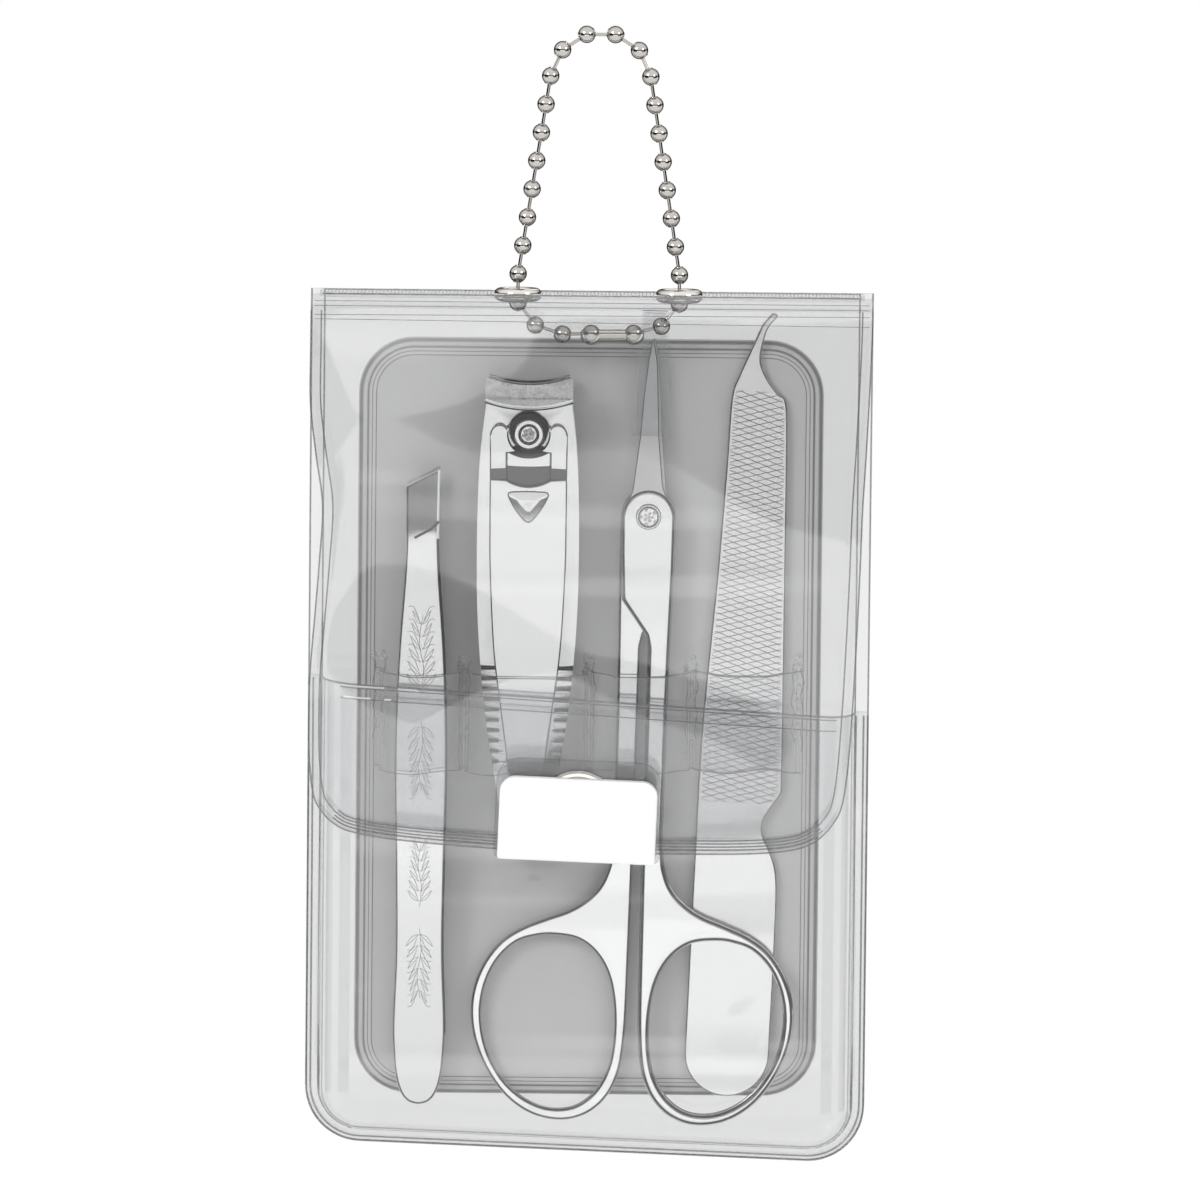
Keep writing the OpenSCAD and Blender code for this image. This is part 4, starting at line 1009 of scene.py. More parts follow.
def studio_world(scene):
    """White behind the object for the camera, and for everything else a light tent with dark flags in it."""
    world = bpy.data.worlds.new("Studio")
    world.use_nodes = True
    scene.world = world
    world.node_tree.nodes.clear()
    n = Nodes(world.node_tree)
    out = n.add("ShaderNodeOutputWorld")
    where = n.add("ShaderNodeTexCoord")
    split = n.add("ShaderNodeSeparateXYZ")
    n.link(where.outputs["Generated"], split.inputs["Vector"])
    level = n.add("ShaderNodeMapRange", {"From Min": -1.0, "From Max": 1.0})
    n.link(split.outputs["Z"], level.inputs["Value"])
    sky = stepped(n, SKY_STOPS)
    n.link(level.outputs["Result"], sky.inputs["Fac"])
    flip = n.add("ShaderNodeMath", operation="MULTIPLY")
    flip.inputs[1].default_value = -1.0
    n.link(split.outputs["Y"], flip.inputs[0])
    turn = n.add("ShaderNodeMath", operation="ARCTAN2")
    n.link(split.outputs["X"], turn.inputs[0])
    n.link(flip.outputs[0], turn.inputs[1])
    size = n.add("ShaderNodeMath", operation="ABSOLUTE")
    n.link(turn.outputs[0], size.inputs[0])
    share = n.add("ShaderNodeMath", operation="DIVIDE")
    share.inputs[1].default_value = math.pi
    n.link(size.outputs[0], share.inputs[0])
    flags = stepped(n, TURN_STOPS)
    n.link(share.outputs[0], flags.inputs["Fac"])
    high = n.add("ShaderNodeMath", operation="ABSOLUTE")
    n.link(split.outputs["Z"], high.inputs[0])
    pole = n.add("ShaderNodeMapRange", {"From Min": 0.18, "From Max": 0.32})
    n.link(high.outputs[0], pole.inputs["Value"])
    faded = n.add("ShaderNodeMix", data_type="RGBA")
    faded.inputs[7].default_value = (1, 1, 1, 1)
    n.link(pole.outputs["Result"], faded.inputs[0])
    n.link(flags.outputs["Color"], faded.inputs[6])
    both = n.add("ShaderNodeMix", data_type="RGBA", blend_type="MULTIPLY")
    both.inputs[0].default_value = 1.0
    n.link(sky.outputs["Color"], both.inputs[6])
    n.link(faded.outputs[2], both.inputs[7])
    tent = n.add("ShaderNodeBackground", {"Strength": TENT})
    white = n.add("ShaderNodeBackground", {"Color": (1, 1, 1, 1), "Strength": 1.0})
    path = n.add("ShaderNodeLightPath")
    mix = n.add("ShaderNodeMixShader")
    n.link(both.outputs[2], tent.inputs["Color"])
    n.link(path.outputs["Is Camera Ray"], mix.inputs["Fac"])
    n.link(tent.outputs["Background"], mix.inputs[1])
    n.link(white.outputs["Background"], mix.inputs[2])
    n.link(mix.outputs["Shader"], out.inputs["Surface"])


def floor_piece():
    """Plain pale floor well below the hanging case."""
    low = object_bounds()[0].z - 0.05
    ring = [(0.34 * math.cos(a), 0.34 * math.sin(a), low) for a in np.linspace(0, 2 * math.pi, 64, endpoint=False)]
    mat, n, out = new_material("Pale floor")
    lit = n.add("ShaderNodeBsdfDiffuse", {"Color": (0.92, 0.92, 0.92, 1)})
    glow = n.add("ShaderNodeEmission", {"Color": (1, 1, 1, 1), "Strength": 1.03})
    path = n.add("ShaderNodeLightPath")
    share = n.add("ShaderNodeMath", operation="MAXIMUM")
    scale = n.add("ShaderNodeMath", operation="MULTIPLY")
    scale.inputs[1].default_value = 0.85
    mix = n.add("ShaderNodeMixShader")
    n.link(path.outputs["Is Camera Ray"], share.inputs[0])
    n.link(path.outputs["Is Glossy Ray"], share.inputs[1])
    n.link(share.outputs[0], scale.inputs[0])
    n.link(scale.outputs[0], mix.inputs["Fac"])
    n.link(lit.outputs["BSDF"], mix.inputs[1])
    n.link(glow.outputs["Emission"], mix.inputs[2])
    n.link(mix.outputs["Shader"], out.inputs["Surface"])
    floor = make_object("Floor", ring, [tuple(range(64))], mat)
    floor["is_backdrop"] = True


class MANICURE_OT_chain(bpy.types.Operator):
    """Make the ball chain, its connector and the eyelets"""
    bl_idname = "manicure.chain"
    bl_label = "Ball chain"

    def execute(self, context):
        sizes = context.scene.chain_sizes
        balls_tree, links_tree = spread_of("Chain balls", ball_shape), spread_of("Chain links", link_shape)
        last_left, last_right = SIDE_BALLS + len(LEFT_TURNS), SIDE_BALLS + len(RIGHT_TURNS)
        groups = {
            ("chain_crown", "upper"): [(-1, LEFT_TURNS, 0, UPPER_BALLS - 1, True),
                                       (1, LEFT_TURNS, 0, UPPER_BALLS - 1, False)],
            ("chain_strands", "lower"): [(-1, LEFT_TURNS, UPPER_BALLS, SIDE_BALLS - 1, False),
                                         (1, LEFT_TURNS, UPPER_BALLS, SIDE_BALLS - 1, False)],
            ("case", "inner"): [(-1, LEFT_TURNS, SIDE_BALLS, last_left, False),
                                (1, RIGHT_TURNS, SIDE_BALLS, last_right, False)],
        }
        nickel = finish_of("Chain nickel")
        for (body, part), spans in groups.items():
            balls, links = chain_seeds(spans, sizes.pitch)
            made = spread(f"{part}_balls", balls_tree, [b[0] for b in balls], [b[1] for b in balls],
                          [1.0] * len(balls), {"Ball Diameter": sizes.ball, "Hole Diameter": 0.0008}, nickel)
            settle(made, body, "nickel", f"chain_{part}_balls")
            made = spread(f"{part}_links", links_tree, [b[0] for b in links], [b[1] for b in links],
                          [1.0] * len(links), {"Wire Diameter": sizes.wire, "Length": 0.0016}, nickel, sharp=40)
            settle(made, body, "nickel", f"chain_{part}_links")
        for node in ("chain_connector", "eyelet_left", "eyelet_right", "eyelet_washers"):
            dress(node, "Nickel plate")
        return {"FINISHED"}


def case_edge(inset):
    """Left side, bottom and right side of the case as one line, drawn in by inset, from the top left round."""
    half, low, r = CASE_HALF - inset, -98.8 - inset * -1, max(6.5 - inset, 1.5)
    slope = 1.8 / (2 * (CASE_HALF - 6.5))
    left = arc(-half + r, low + r + slope * (half - r), r, 180, 270, 12)
    right = arc(half - r, low + r - slope * (half - r), r, 270, 360, 12)
    return np.concatenate([[(-half, 0.0)], left, right, [(half, 0.0)]])


def split_corners(line, corner_index_left, corner_index_right):
    """Left, bottom and right lines of an edge line, cut at the middles of its corners."""
    return (line[:corner_index_left + 1], line[corner_index_left:corner_index_right + 1],
            line[corner_index_right:][::-1])


def case_grid(inset, top_left, top_right, rows, cols):
    """Grid over the case inside an edge, below a top line from (x, z) to (x, z)."""
    line = case_edge(inset).copy()
    line[0], line[-1] = top_left, top_right
    left, bottom, right = split_corners(line, 7, 1 + 13 + 6)
    top = np.array([top_left, top_right])
    return coons(top, right, bottom, left, rows, cols)


def inset_line(line, depth):
    """An open outline that runs down the left, along the bottom and up the right, drawn in by depth."""
    line = np.asarray(line, float)
    keep = np.concatenate([[True], np.hypot(*np.diff(line, axis=0).T) > 0.05])
    line = line[keep]
    d = np.gradient(line, axis=0)
    d /= np.hypot(d[:, 0], d[:, 1])[:, None]
    return line + depth * np.stack([-d[:, 1], d[:, 0]], 1)


def in_frame(line, y):
    """Frame points in millimetres of a line of case points (x, z), with y from a function or a number."""
    line = np.asarray(line, float)
    depth = y(line[:, 0], line[:, 1]) if callable(y) else np.full(len(line), y)
    return np.stack([line[:, 0] + CENTRE_X, depth, line[:, 1] + TOP_Z], 1)


class MANICURE_OT_case(bpy.types.Operator):
    """Make the back sheet, gusset, board, pocket and loop strap"""
    bl_idname = "manicure.case"
    bl_label = "Case sheets"

    def execute(self, context):
        sizes = context.scene.case_sizes
        back_sheet_piece(sizes)
        board_piece()
        pocket_piece(sizes)
        strap_piece(sizes)
        gusset_piece()
        return {"FINISHED"}


def back_sheet_piece(sizes):
    """Flat rear sheet with the two pressed lines of its weld."""
    t = sizes.sheet / MM
    grid = case_grid(0, (-CASE_HALF, 0.0), (CASE_HALF, 0.0), 110, 90)
    d = edge_distance(grid.reshape(-1, 2), case_edge(0)).reshape(grid.shape[:2])
    groove = 0.12 * (np.exp(-((d - 0.7) / 0.16) ** 2) + np.exp(-((d - 1.75) / 0.16) ** 2))
    x, z = grid[..., 0] + CENTRE_X, grid[..., 1] + TOP_Z
    front = np.stack([x, np.full(d.shape, BACK_Y - t) , z], -1) * MM
    back = np.stack([x, BACK_Y - groove, z], -1) * MM
    v, f = sheet_part(front, back)
    obj = make_object("rear_sheet", v, f, finish_of("Rear vinyl"), sharp=50)
    settle(obj, "case", "clear_vinyl", "back_sheet")
    lines = [in_frame(inset_line(case_edge(0), k), BACK_Y - t) for k in (0.12, 1.6)]
    settle(beads("rear_lines", lines, 0.2, "Pressed vinyl"), "case", "clear_vinyl")


def gusset_piece():
    """The case's top band with its two pressed lines and its fine cross hatch."""
    dress("top_gusset", "Gusset vinyl")
    lo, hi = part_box("top_gusset")
    x0, x1, y0, y1, top = lo.x / MM + 0.4, hi.x / MM - 0.4, lo.y / MM, hi.y / MM, hi.z / MM
    lines = [[(x0, y0 + k, top - 0.03), (x1, y0 + k, top - 0.03)] for k in (0.7, 1.5, 9.0)]
    settle(beads("gusset_lines", lines, 0.2, "Pressed vinyl"), "case", "clear_vinyl")
    hatch = [[(x, y0 + 0.3, top - 0.04), (x + 0.12, y1 - 0.8, top - 0.04)] for x in np.arange(x0, x1 - 0.3, 0.42)]
    settle(beads("gusset_hatch", hatch, 0.09, "Pressed vinyl"), "case", "clear_vinyl")


def board_outline(inset):
    """Outline of the grey board, drawn in by inset."""
    half, r = CASE_HALF - 5.6 - inset, 6.3 - inset
    top, low = -5.4 - inset, -98.8 + 6.6 + inset
    return np.concatenate([arc(half - r, top - r, r, 0, 90), arc(-half + r, top - r, r, 90, 180),
                           arc(-half + r, low + r, r, 180, 270), arc(half - r, low + r, r, 270, 360)])


def board_piece():
    """Covered card with a soft rim and a pressed line inside it."""
    place = at_case(0, 0, 0)
    parts = [plate_part(board_outline(0), BOARD_Y + 0.22, BOARD_BACK_Y, 0.6, 0.3, place=place, steps=6),
             plate_part(board_outline(0.9), BOARD_Y, BOARD_BACK_Y - 0.3, 0.35, 0.1, place=place, steps=6)]
    obj = joined("grey_board", parts, finish_of("Grey card"))
    settle(obj, "case", "grey_board", "backing_board")
    outer, inner = tidy_loop(board_outline(1.5), 1), tidy_loop(board_outline(2.05), 1)
    strip = plate_part(outer, BOARD_Y - 0.08, BOARD_Y + 0.1, 0.12, 0.02, holes=[inner], place=place, steps=4)
    bead = joined("board_bead", [strip], finish_of("Grey card"))
    settle(bead, "case", "grey_board")


def pocket_mouth(x):
    """Height of the pocket's mouth, which slopes a little."""
    return -46 - 1.9 * x / CASE_HALF


def pocket_dents():
    """Soft dents of the pocket's face, as (x, z, two sizes, depth, turn)."""
    rng = np.random.default_rng(5)
    return [(rng.uniform(-26, 26), rng.uniform(-94, -52), rng.uniform(3, 10), rng.uniform(2, 8),
             rng.uniform(-0.16, 0.16), rng.uniform(0, math.pi)) for _ in range(22)]


def pocket_depth(x, z, t, weld):
    """y of the pocket's front at case points: flat weld, round shoulder, then a face that bows and dips a little."""
    x, z = np.asarray(x, float), np.asarray(z, float)
    d = edge_distance(np.stack([x.ravel(), z.ravel()], 1), case_edge(0)).reshape(x.shape)
    depth = BOARD_BACK_Y - POCKET_Y - t
    rise = np.clip((d - weld) / 4.2, 0, 1)
    shoulder = np.sqrt(np.clip(1 - (1 - rise) ** 2, 0, 1))
    face = smoothstep(d, 6, 16)
    dents = np.zeros_like(x)
    for cx, cz, sx, sz, h, a in pocket_dents():
        ux, uz = (x - cx) * math.cos(a) + (z - cz) * math.sin(a), -(x - cx) * math.sin(a) + (z - cz) * math.cos(a)
        dents += h * np.exp(-(ux / sx) ** 2 - (uz / sz) ** 2)
    bow = 0.35 * np.cos(x / CASE_HALF * math.pi / 2) * smoothstep(-z, 44, 60)
    below = pocket_mouth(x) - z
    hem = -0.12 * np.exp(-((below - 1.7) / 0.25) ** 2) - 0.08 * np.exp(-((below - 0.25) / 0.3) ** 2)
    edge = -0.13 * np.exp(-((d - 1.45) / 0.2) ** 2) - 0.1 * np.exp(-((d - 0.6) / 0.18) ** 2)
    snap = np.hypot(x + 1.1, z + 58.4)
    return (BOARD_BACK_Y - t - depth * shoulder + (dents + bow * 0.5) * face * smoothstep(snap, 4, 9)
            + hem * face + edge)


def pocket_piece(sizes):
    """Front pocket with the pressed lines of its weld, its mouth and its hem."""
    t, weld = sizes.sheet / MM, sizes.weld / MM
    ends = [(x, float(pocket_mouth(x))) for x in (-CASE_HALF, CASE_HALF)]
    grid = case_grid(0, *ends, 150, 240)
    depth = lambda x, z: pocket_depth(x, z, t, weld)
    obj = sheet_object("pocket_sheet", grid, depth(grid[..., 0], grid[..., 1]), t * 0.8, finish_of("Pocket vinyl"))
    settle(obj, "case", "clear_vinyl", "front_pocket")
    edge = case_edge(0)
    edge = edge[edge[:, 1] < pocket_mouth(edge[:, 0])]
    edge = np.concatenate([[(-CASE_HALF, ends[0][1] - 0.4)], edge, [(CASE_HALF, ends[1][1] - 0.4)]])
    lines = [in_frame(resampled(inset_line(edge, k), 200), depth) for k in (0.14, 0.62, 1.5)]
    x = np.linspace(-CASE_HALF + 1.6, CASE_HALF - 1.6, 160)
    lines.append(in_frame(np.stack([x, pocket_mouth(x) - 0.14], 1), depth))
    settle(beads("pocket_lines", lines, 0.22, "Pressed vinyl"), "case", "clear_vinyl")
    lines = [in_frame(np.stack([x, pocket_mouth(x) - k], 1)[6:-6], depth) for k in (0.5, 1.75)]
    settle(beads("pocket_hem", lines, 0.14, "Pressed vinyl"), "case", "clear_vinyl")
    # Painted highlights: short pale beads along the mouth where its edge catches the light.
    shine = [in_frame(np.stack([x, pocket_mouth(x) - k], 1)[a:b], lambda u, v: depth(u, v) - 0.04)
             for k, a, b in ((0.3, 6, 20), (0.3, 23, 30), (1.6, 7, 16), (1.6, 19, 22))]
    settle(beads("mouth_shine", shine, 0.22, "Painted highlight"), "case", "clear_vinyl")


def hump(u, power):
    """Square-shouldered hump from 0 at u = -1 through 1 to 0 at u = 1."""
    return np.maximum(1 - np.abs(u) ** power, 0) ** (1 / power)


STRAP_WELDS = [-23.884, -14.184, 0.08, 11.78, 23.884]
STRAP_FRONTS = [-2.415, -2.493, 0.0, 2.0]


def strap_line():
    """The strap's inner line seen from above, as (x, y) with y in the frame."""
    pts = [(STRAP_WELDS[0] - 0.4, BOARD_Y - 0.03)]
    for i in range(4):
        a, b = STRAP_WELDS[i] + 0.4, STRAP_WELDS[i + 1] - 0.4
        deep = BOARD_Y - (STRAP_FRONTS[i] + 0.4 + 0.3)
        u = -np.cos(np.linspace(0, math.pi, 33))
        y = BOARD_Y - 0.03 - deep * hump(u, 8)
        pts += list(zip((a + b) / 2 + u * (b - a) / 2, y))
    pts.append((STRAP_WELDS[-1] + 0.4, BOARD_Y - 0.03))
    return np.array(pts)


def strap_piece(sizes):
    """Loop strap with its wavy top edge, and the melted pips of its five welds."""
    t = sizes.strap / MM
    line = strap_line()
    d = np.gradient(line, axis=0)
    d /= np.hypot(d[:, 0], d[:, 1])[:, None]
    n = np.stack([d[:, 1], -d[:, 0]], 1)
    outer = line + n * t
    top, low = STRAP_HI.z / MM - TOP_Z, STRAP_LO.z / MM - TOP_Z
    near = np.min(np.abs(line[:, 0][:, None] - np.array(STRAP_WELDS)[None]), 1)
    lift = -0.55 * smoothstep(near, 0.3, 4.0)
    rows = 16
    front = np.zeros((rows, len(line), 3))
    back = np.zeros((rows, len(line), 3))
    for r in range(rows):
        w = r / (rows - 1)
        z = (top + lift) * (1 - w) + (low + 0.25 * np.sin(line[:, 0] * 0.7)) * w
        front[r] = np.stack([outer[:, 0] + CENTRE_X, outer[:, 1], z + TOP_Z], 1)
        back[r] = np.stack([line[:, 0] + CENTRE_X, line[:, 1], z + TOP_Z], 1)
    v, f = sheet_part(front * MM, back * MM)
    obj = make_object("strap", v, f, finish_of("Strap vinyl"), sharp=60)
    settle(obj, "case", "clear_vinyl", "loop_strap")
    edges = [[tuple(q) for q in front[r]] for r in (0, rows - 1)]
    settle(beads("strap_edges", edges, 0.13, "Pressed vinyl"), "case", "clear_vinyl")
    rng = random.Random(3)
    seeds, turns, lines = [], [], []
    for x in STRAP_WELDS:
        for side in (-0.55, 0.5):
            zs = np.linspace(top + 0.9, top - 7.5 - rng.uniform(0, 2.5), 15)
            lines.append([(x + side + 0.14 * math.sin(z * 1.9 + x) + rng.uniform(-0.13, 0.13) + CENTRE_X,
                           BOARD_Y - t - 0.1, z + TOP_Z) for z in zs])
        for k in range(9):
            seeds.append(case_point(x + rng.uniform(-0.45, 0.45), BOARD_Y - t - 0.05, top - 0.6 - k * 0.9))
            turns.append(rng.uniform(-0.4, 0.4))
        for k in range(11):
            seeds.append(case_point(x + rng.uniform(-0.7, 0.7), BOARD_Y - 0.1, top - 0.4 + rng.uniform(0, 2.3)))
            turns.append(rng.uniform(0, 3.1))
    settle(beads("weld_lines", lines, 0.1, "Pressed vinyl"), "case", "clear_vinyl")
    pips = spread("weld_pips", spread_of("Weld pips", knot_shape), seeds, turns,
                  [rng.uniform(0.7, 2.0) for _ in seeds], {"Width": 0.0005}, finish_of("Welded vinyl"))
    settle(pips, "case", "clear_vinyl")


FLAP_LEFT = [(-31.85, -0.05), (-31.88, -6), (-31.86, -12.3), (-31.2, -18), (-30.4, -24), (-30.75, -30.7),
             (-31.2, -36.6), (-31.65, -42.4), (-31.8, -47), (-31.7, -53), (-31.1, -57.4), (-29.6, -59.7)]
FLAP_BOTTOM = [(-29.6, -59.7), (-27.2, -61.1), (-21.4, -62.05), (-9.9, -63.0), (-1, -63.35), (7.8, -63.4),
               (17, -63.3), (22.6, -62.9), (25.6, -62.0), (27.4, -60.5)]
FLAP_RIGHT = [(31.85, -0.05), (31.77, -5.6), (31.3, -16.6), (30.9, -24), (30.7, -30.7), (30.4, -39),
              (30.0, -47.5), (29.5, -54.3), (28.8, -58.2), (27.4, -60.5)]


class MANICURE_OT_flap(bpy.types.Operator):
    """Make the flap with its tab, band and snap"""
    bl_idname = "manicure.flap"
    bl_label = "Flap and closure"

    def execute(self, context):
        flap_piece(context.scene.case_sizes)
        closure_pieces()
        return {"FINISHED"}


def flap_depth(x, z, amp):
    """y of the flap's front at case points, without its pressed lines: hangs bowed and slightly wavy."""
    hang = smoothstep(-z, 2, 14)
    snap = smoothstep(np.hypot(x + 1.1, (z + 58.4) * 1.2), 9, 22)
    wave = (-1.0 * np.sin((x + 8) * 0.075 + z * 0.03) * np.sin(-z * 0.058 + 0.4)
            - 0.55 * np.sin(x * 0.16 - z * 0.05 + 1.2) - 0.35 * np.sin(z * 0.21 + x * 0.05))
    curl = -1.1 * np.exp(-((x + 31) / 3.5) ** 2) * np.exp(-((z + 22) / 11) ** 2)
    fold = 0.5 * np.exp(-(z / 0.55) ** 2)
    return FLAP_Y + amp * wave * hang * snap - 0.2 * hang * snap + curl + fold


def flap_piece(sizes):
    """Clear flap, bowed and slightly wavy, with pressed lines along its edge and a round fold at its top."""
    t, amp = sizes.sheet / MM, sizes.wave / MM
    left, bottom, right = (catmull(p, 8) for p in (FLAP_LEFT, FLAP_BOTTOM, FLAP_RIGHT))
    grid = coons(np.array([FLAP_LEFT[0], FLAP_RIGHT[0]]), right, bottom, left, 170, 170)
    x, z = grid[..., 0], grid[..., 1]
    edge = np.concatenate([left, bottom[1:], right[::-1][1:]])
    d = edge_distance(grid.reshape(-1, 2), edge).reshape(x.shape)
    bead = -sizes.bead / MM * (np.exp(-((d - 1.25) / 0.22) ** 2) + 0.6 * np.exp(-((d - 0.2) / 0.25) ** 2))
    obj = sheet_object("flap_sheet", grid, flap_depth(x, z, amp) + bead, t * 0.85, finish_of("Clear vinyl"))
    settle(obj, "flap_set", "clear_vinyl", "flap")
    depth = lambda a, b: flap_depth(a, b, amp)
    lines = [in_frame(inset_line(edge, k)[3:-3], depth) for k in (0.1, 1.25)]
    lines += [in_frame(inset_line(bottom, k)[2:-2], depth) for k in (0.55, 0.9, 1.6)]
    settle(beads("flap_lines", lines, 0.19, "Pressed vinyl"), "flap_set", "clear_vinyl")
    across = np.linspace(-31.4, 31.4, 60)
    lines = [in_frame(np.stack([across, np.full(60, z0) + dz * across], 1), depth)
             for z0, dz in ((-0.75, 0.0), (-1.3, 0.0), (-2.2, 0.004), (-3.0, -0.006))]
    settle(beads("fold_lines", lines, 0.09, "Pressed vinyl"), "flap_set", "clear_vinyl")
    return obj


def closure_pieces():
    """Blank white tab, grey band behind it and the snap's metal."""
    tilt = Matrix.Rotation(math.radians(2), 4, "Y")
    place = at_case(-1.1, 0, -58.4 - 1) @ tilt
    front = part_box("closure_tab")[0].y / MM
    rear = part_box("tab_backing")[0].y / MM
    w, h = 17.9 / 2, 9.4 / 2

    def tab_outline(dx, top, r_top, r_low, low=0.0):
        return np.concatenate([arc(w + dx - r_top, h + top - r_top, r_top, 0, 90, 8),
                               arc(-w - dx + r_top, h + top - r_top, r_top, 90, 180, 8),
                               arc(-w - dx + r_low, -h - low + r_low, r_low, 180, 270, 5),
                               arc(w + dx - r_low, -h - low + r_low, r_low, 270, 360, 5)])
    tab = joined("tab", [plate_part(tab_outline(0, 0, 1.7, 0.35), front, rear - 0.02, 0.22, 0.1, place=place)],
                 finish_of("White plastic"))
    settle(tab, "flap_set", "white_tab", "closure_tab")
    band = joined("tab_band", [plate_part(tab_outline(0.45, 2.0, 2.6, 0.5), rear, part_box("tab_backing")[1].y / MM,
                                          0.15, 0.1, place=place)], finish_of("Band vinyl"))
    settle(band, "flap_set", "grey_band", "tab_backing")
    for node in ("snap_cap", "snap_socket", "snap_stud", "snap_post"):
        dress(node, "Nickel plate")


# ---------------------------------------------------------------- tools
SCISSOR_OUTLINE = [(-0.45, -36), (-0.5, -44), (-0.55, -50), (-0.6, -56), (-0.75, -60), (-1.2, -63.6), (-2.3, -66.4),
                   (-4.1, -68.4), (-6.4, -69.5), (-8.9, -69.65), (-11.6, -68.9), (-14.2, -67.1), (-16.3, -64.4),
                   (-17.8, -61.2), (-18.45, -57.9), (-18.2, -54.6), (-17.1, -51.7), (-15.3, -49.3), (-13, -47.7),
                   (-10.2, -46.5), (-7.6, -45.5), (-5.6, -44.2), (-4.1, -42.5), (-3.2, -40.2), (-2.9, -38), (-2.85, -36)]
SCISSOR_HOLE = [(-9.2, -48.4), (-6.5, -48.8), (-4.4, -50.3), (-2.9, -52.8), (-2.15, -56.2), (-2.05, -60.2),
                (-2.6, -63.5), (-4, -66.2), (-6.1, -67.9), (-8.6, -68.35), (-11.2, -67.7), (-13.7, -66),
                (-15.6, -63.5), (-16.8, -60.6), (-17.25, -57.4), (-16.8, -54.2), (-15.5, -51.4), (-13.5, -49.4),
                (-11.3, -48.6)]
SHANK = [(-0.45, -36), (-0.4, -21), (-2.85, -21), (-2.85, -36)]


class MANICURE_OT_tools(bpy.types.Operator):
    """Make the scissors, file, tweezers and clipper"""
    bl_idname = "manicure.tools"
    bl_label = "Tools"

    def execute(self, context):
        sizes = context.scene.tool_sizes
        scissors_pieces(sizes)
        file_pieces(sizes)
        tweezer_pieces(sizes)
        clipper_pieces(sizes)
        return {"FINISHED"}


PIVOT = Vector(JOINTS["scissors_open"]["pos_m"]) / MM
SCISSOR_LEAN = math.atan2(JOINTS["scissors_lift"]["axis"][0], JOINTS["scissors_lift"]["axis"][2])


def scissors_pieces(sizes):
    """Two stamped halves with broad bows and rounded rims, frosted blades, the rivet screw and the blades' sleeve."""
    e = sizes.edge / MM
    body = np.concatenate([catmull(SCISSOR_OUTLINE, 5), [(-2.88, -22), (-3.0, -14), (-3.15, -6), (-3.15, 0)],
                           arc(0, 0, 3.15, 180, 0, 22)[1:-1],
                           [(3.15, 0), (3.0, -5), (2.75, -9.6), (-0.1, -13.6), (-0.4, -15), (-0.42, -24)]])
    body = filleted(tidy_loop(body, 1), 0.4)
    hole = catmull(SCISSOR_HOLE, 5, closed=True)
    blade = filleted(np.array([(-2.2, 1.5), (-1.5, 3.6), (-0.9, 9.2), (-0.5, 17.4), (0.0, 20.1), (0.12, 20.3),
                               (0.6, 17.8), (1.0, 13.4), (1.25, 9.2), (1.9, 3.0), (2.4, 1.5)]), 0.1)
    lean = Matrix.Rotation(SCISSOR_LEAN, 4, "Y")

    def taper(v, n):
        thin = np.clip((v[:, 2] - 3) / 16, 0, 1) * 0.55
        return np.stack([v[:, 0], 0.05 + (v[:, 1] - 0.05) * (1 - thin), v[:, 2]], 1), n
    for side, body_name, node, name in ((1, "scissors", "scissor_rear_half", "rear_half"),
                                        (-1, "scissor_front", "scissor_front_half", "front_half")):
        half_turn = Matrix.Rotation(math.pi, 4, "Z") if side < 0 else Matrix.Identity(4)
        place = Matrix.Translation(PIVOT) @ lean @ half_turn
        half = joined(name, [plate_part(body, 0.05, 1.27, 0.4 if side > 0 else 0.15, e + 0.08, holes=[hole],
                                        place=place, steps=9)], finish_of("Chrome steel"))
        settle(half, body_name, "polished_steel", node)
        made = joined(name + "_blade", [plate_part(blade, 0.06, 1.1, 0.05, 0.12, place=place, dish=taper)],
                      finish_of("Frosted steel"))
        settle(made, body_name, "polished_steel")
    lo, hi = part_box("scissor_screw")
    place = Matrix.Translation(Vector((PIVOT.x, 0, PIVOT.z)))
    wide = (hi.x - lo.x) / 2 / MM
    parts = [plate_part(arc(0, 0, r, 0, 360, 40)[:-1], y0, y1, 0.12, 0.08, holes=holes, place=place)
             for r, y0, y1, holes in ((wide, lo.y / MM + 0.02, lo.y / MM + 0.3, [arc(0, 0, wide - 0.32, 0, 360, 40)[:-1]]),
                                      (wide - 0.35, lo.y / MM + 0.09, hi.y / MM - 0.02, []))]
    settle(joined("screw", parts, finish_of("Chrome steel")), "scissors", "nickel", "scissor_screw")
    rng = random.Random(8)
    seeds = [Vector((PIVOT.x + r * (wide - 0.6) * math.cos(a), lo.y / MM + 0.1, PIVOT.z + r * (wide - 0.6) * math.sin(a)))
             * MM for r, a in [(0, 0)] + [(0.5 + 0.5 * (k % 2), k * math.pi / 5) for k in range(10)]]
    pips = spread("screw_face", spread_of("Weld pips", knot_shape), seeds, [rng.uniform(0, 3) for _ in seeds],
                  [rng.uniform(0.7, 1.5) for _ in seeds], {"Width": 0.00042}, finish_of("Ground steel"))
    settle(pips, "scissors", "nickel")
    dress("blade_guard", "Guard vinyl")


FILE_LEAN = math.atan2(JOINTS["file_lift"]["axis"][0], JOINTS["file_lift"]["axis"][2])
FILE_X = 18.432
FILE_TIP = -2.1
FILE_RIGHT = [(0.9, 0), (1.5, -0.4), (0.4, -2), (-0.2, -5.2), (0.6, -7.4), (2, -9.2), (2.9, -10), (3.3, -14),
              (3.9, -30), (4.554, -48), (4.752, -54.8)]
FILE_GRIP = [(2.97, -57.6), (2.772, -59.5), (4.554, -64), (4.851, -72), (4.851, -82)]
FILE_LEFT = [(-4.851, -82), (-4.851, -64), (-4.752, -48), (-3.9, -30), (-3.5, -18), (-3.3, -10), (-2.6, -7.4),
             (-1.4, -4.4), (-0.2, -1.4)]


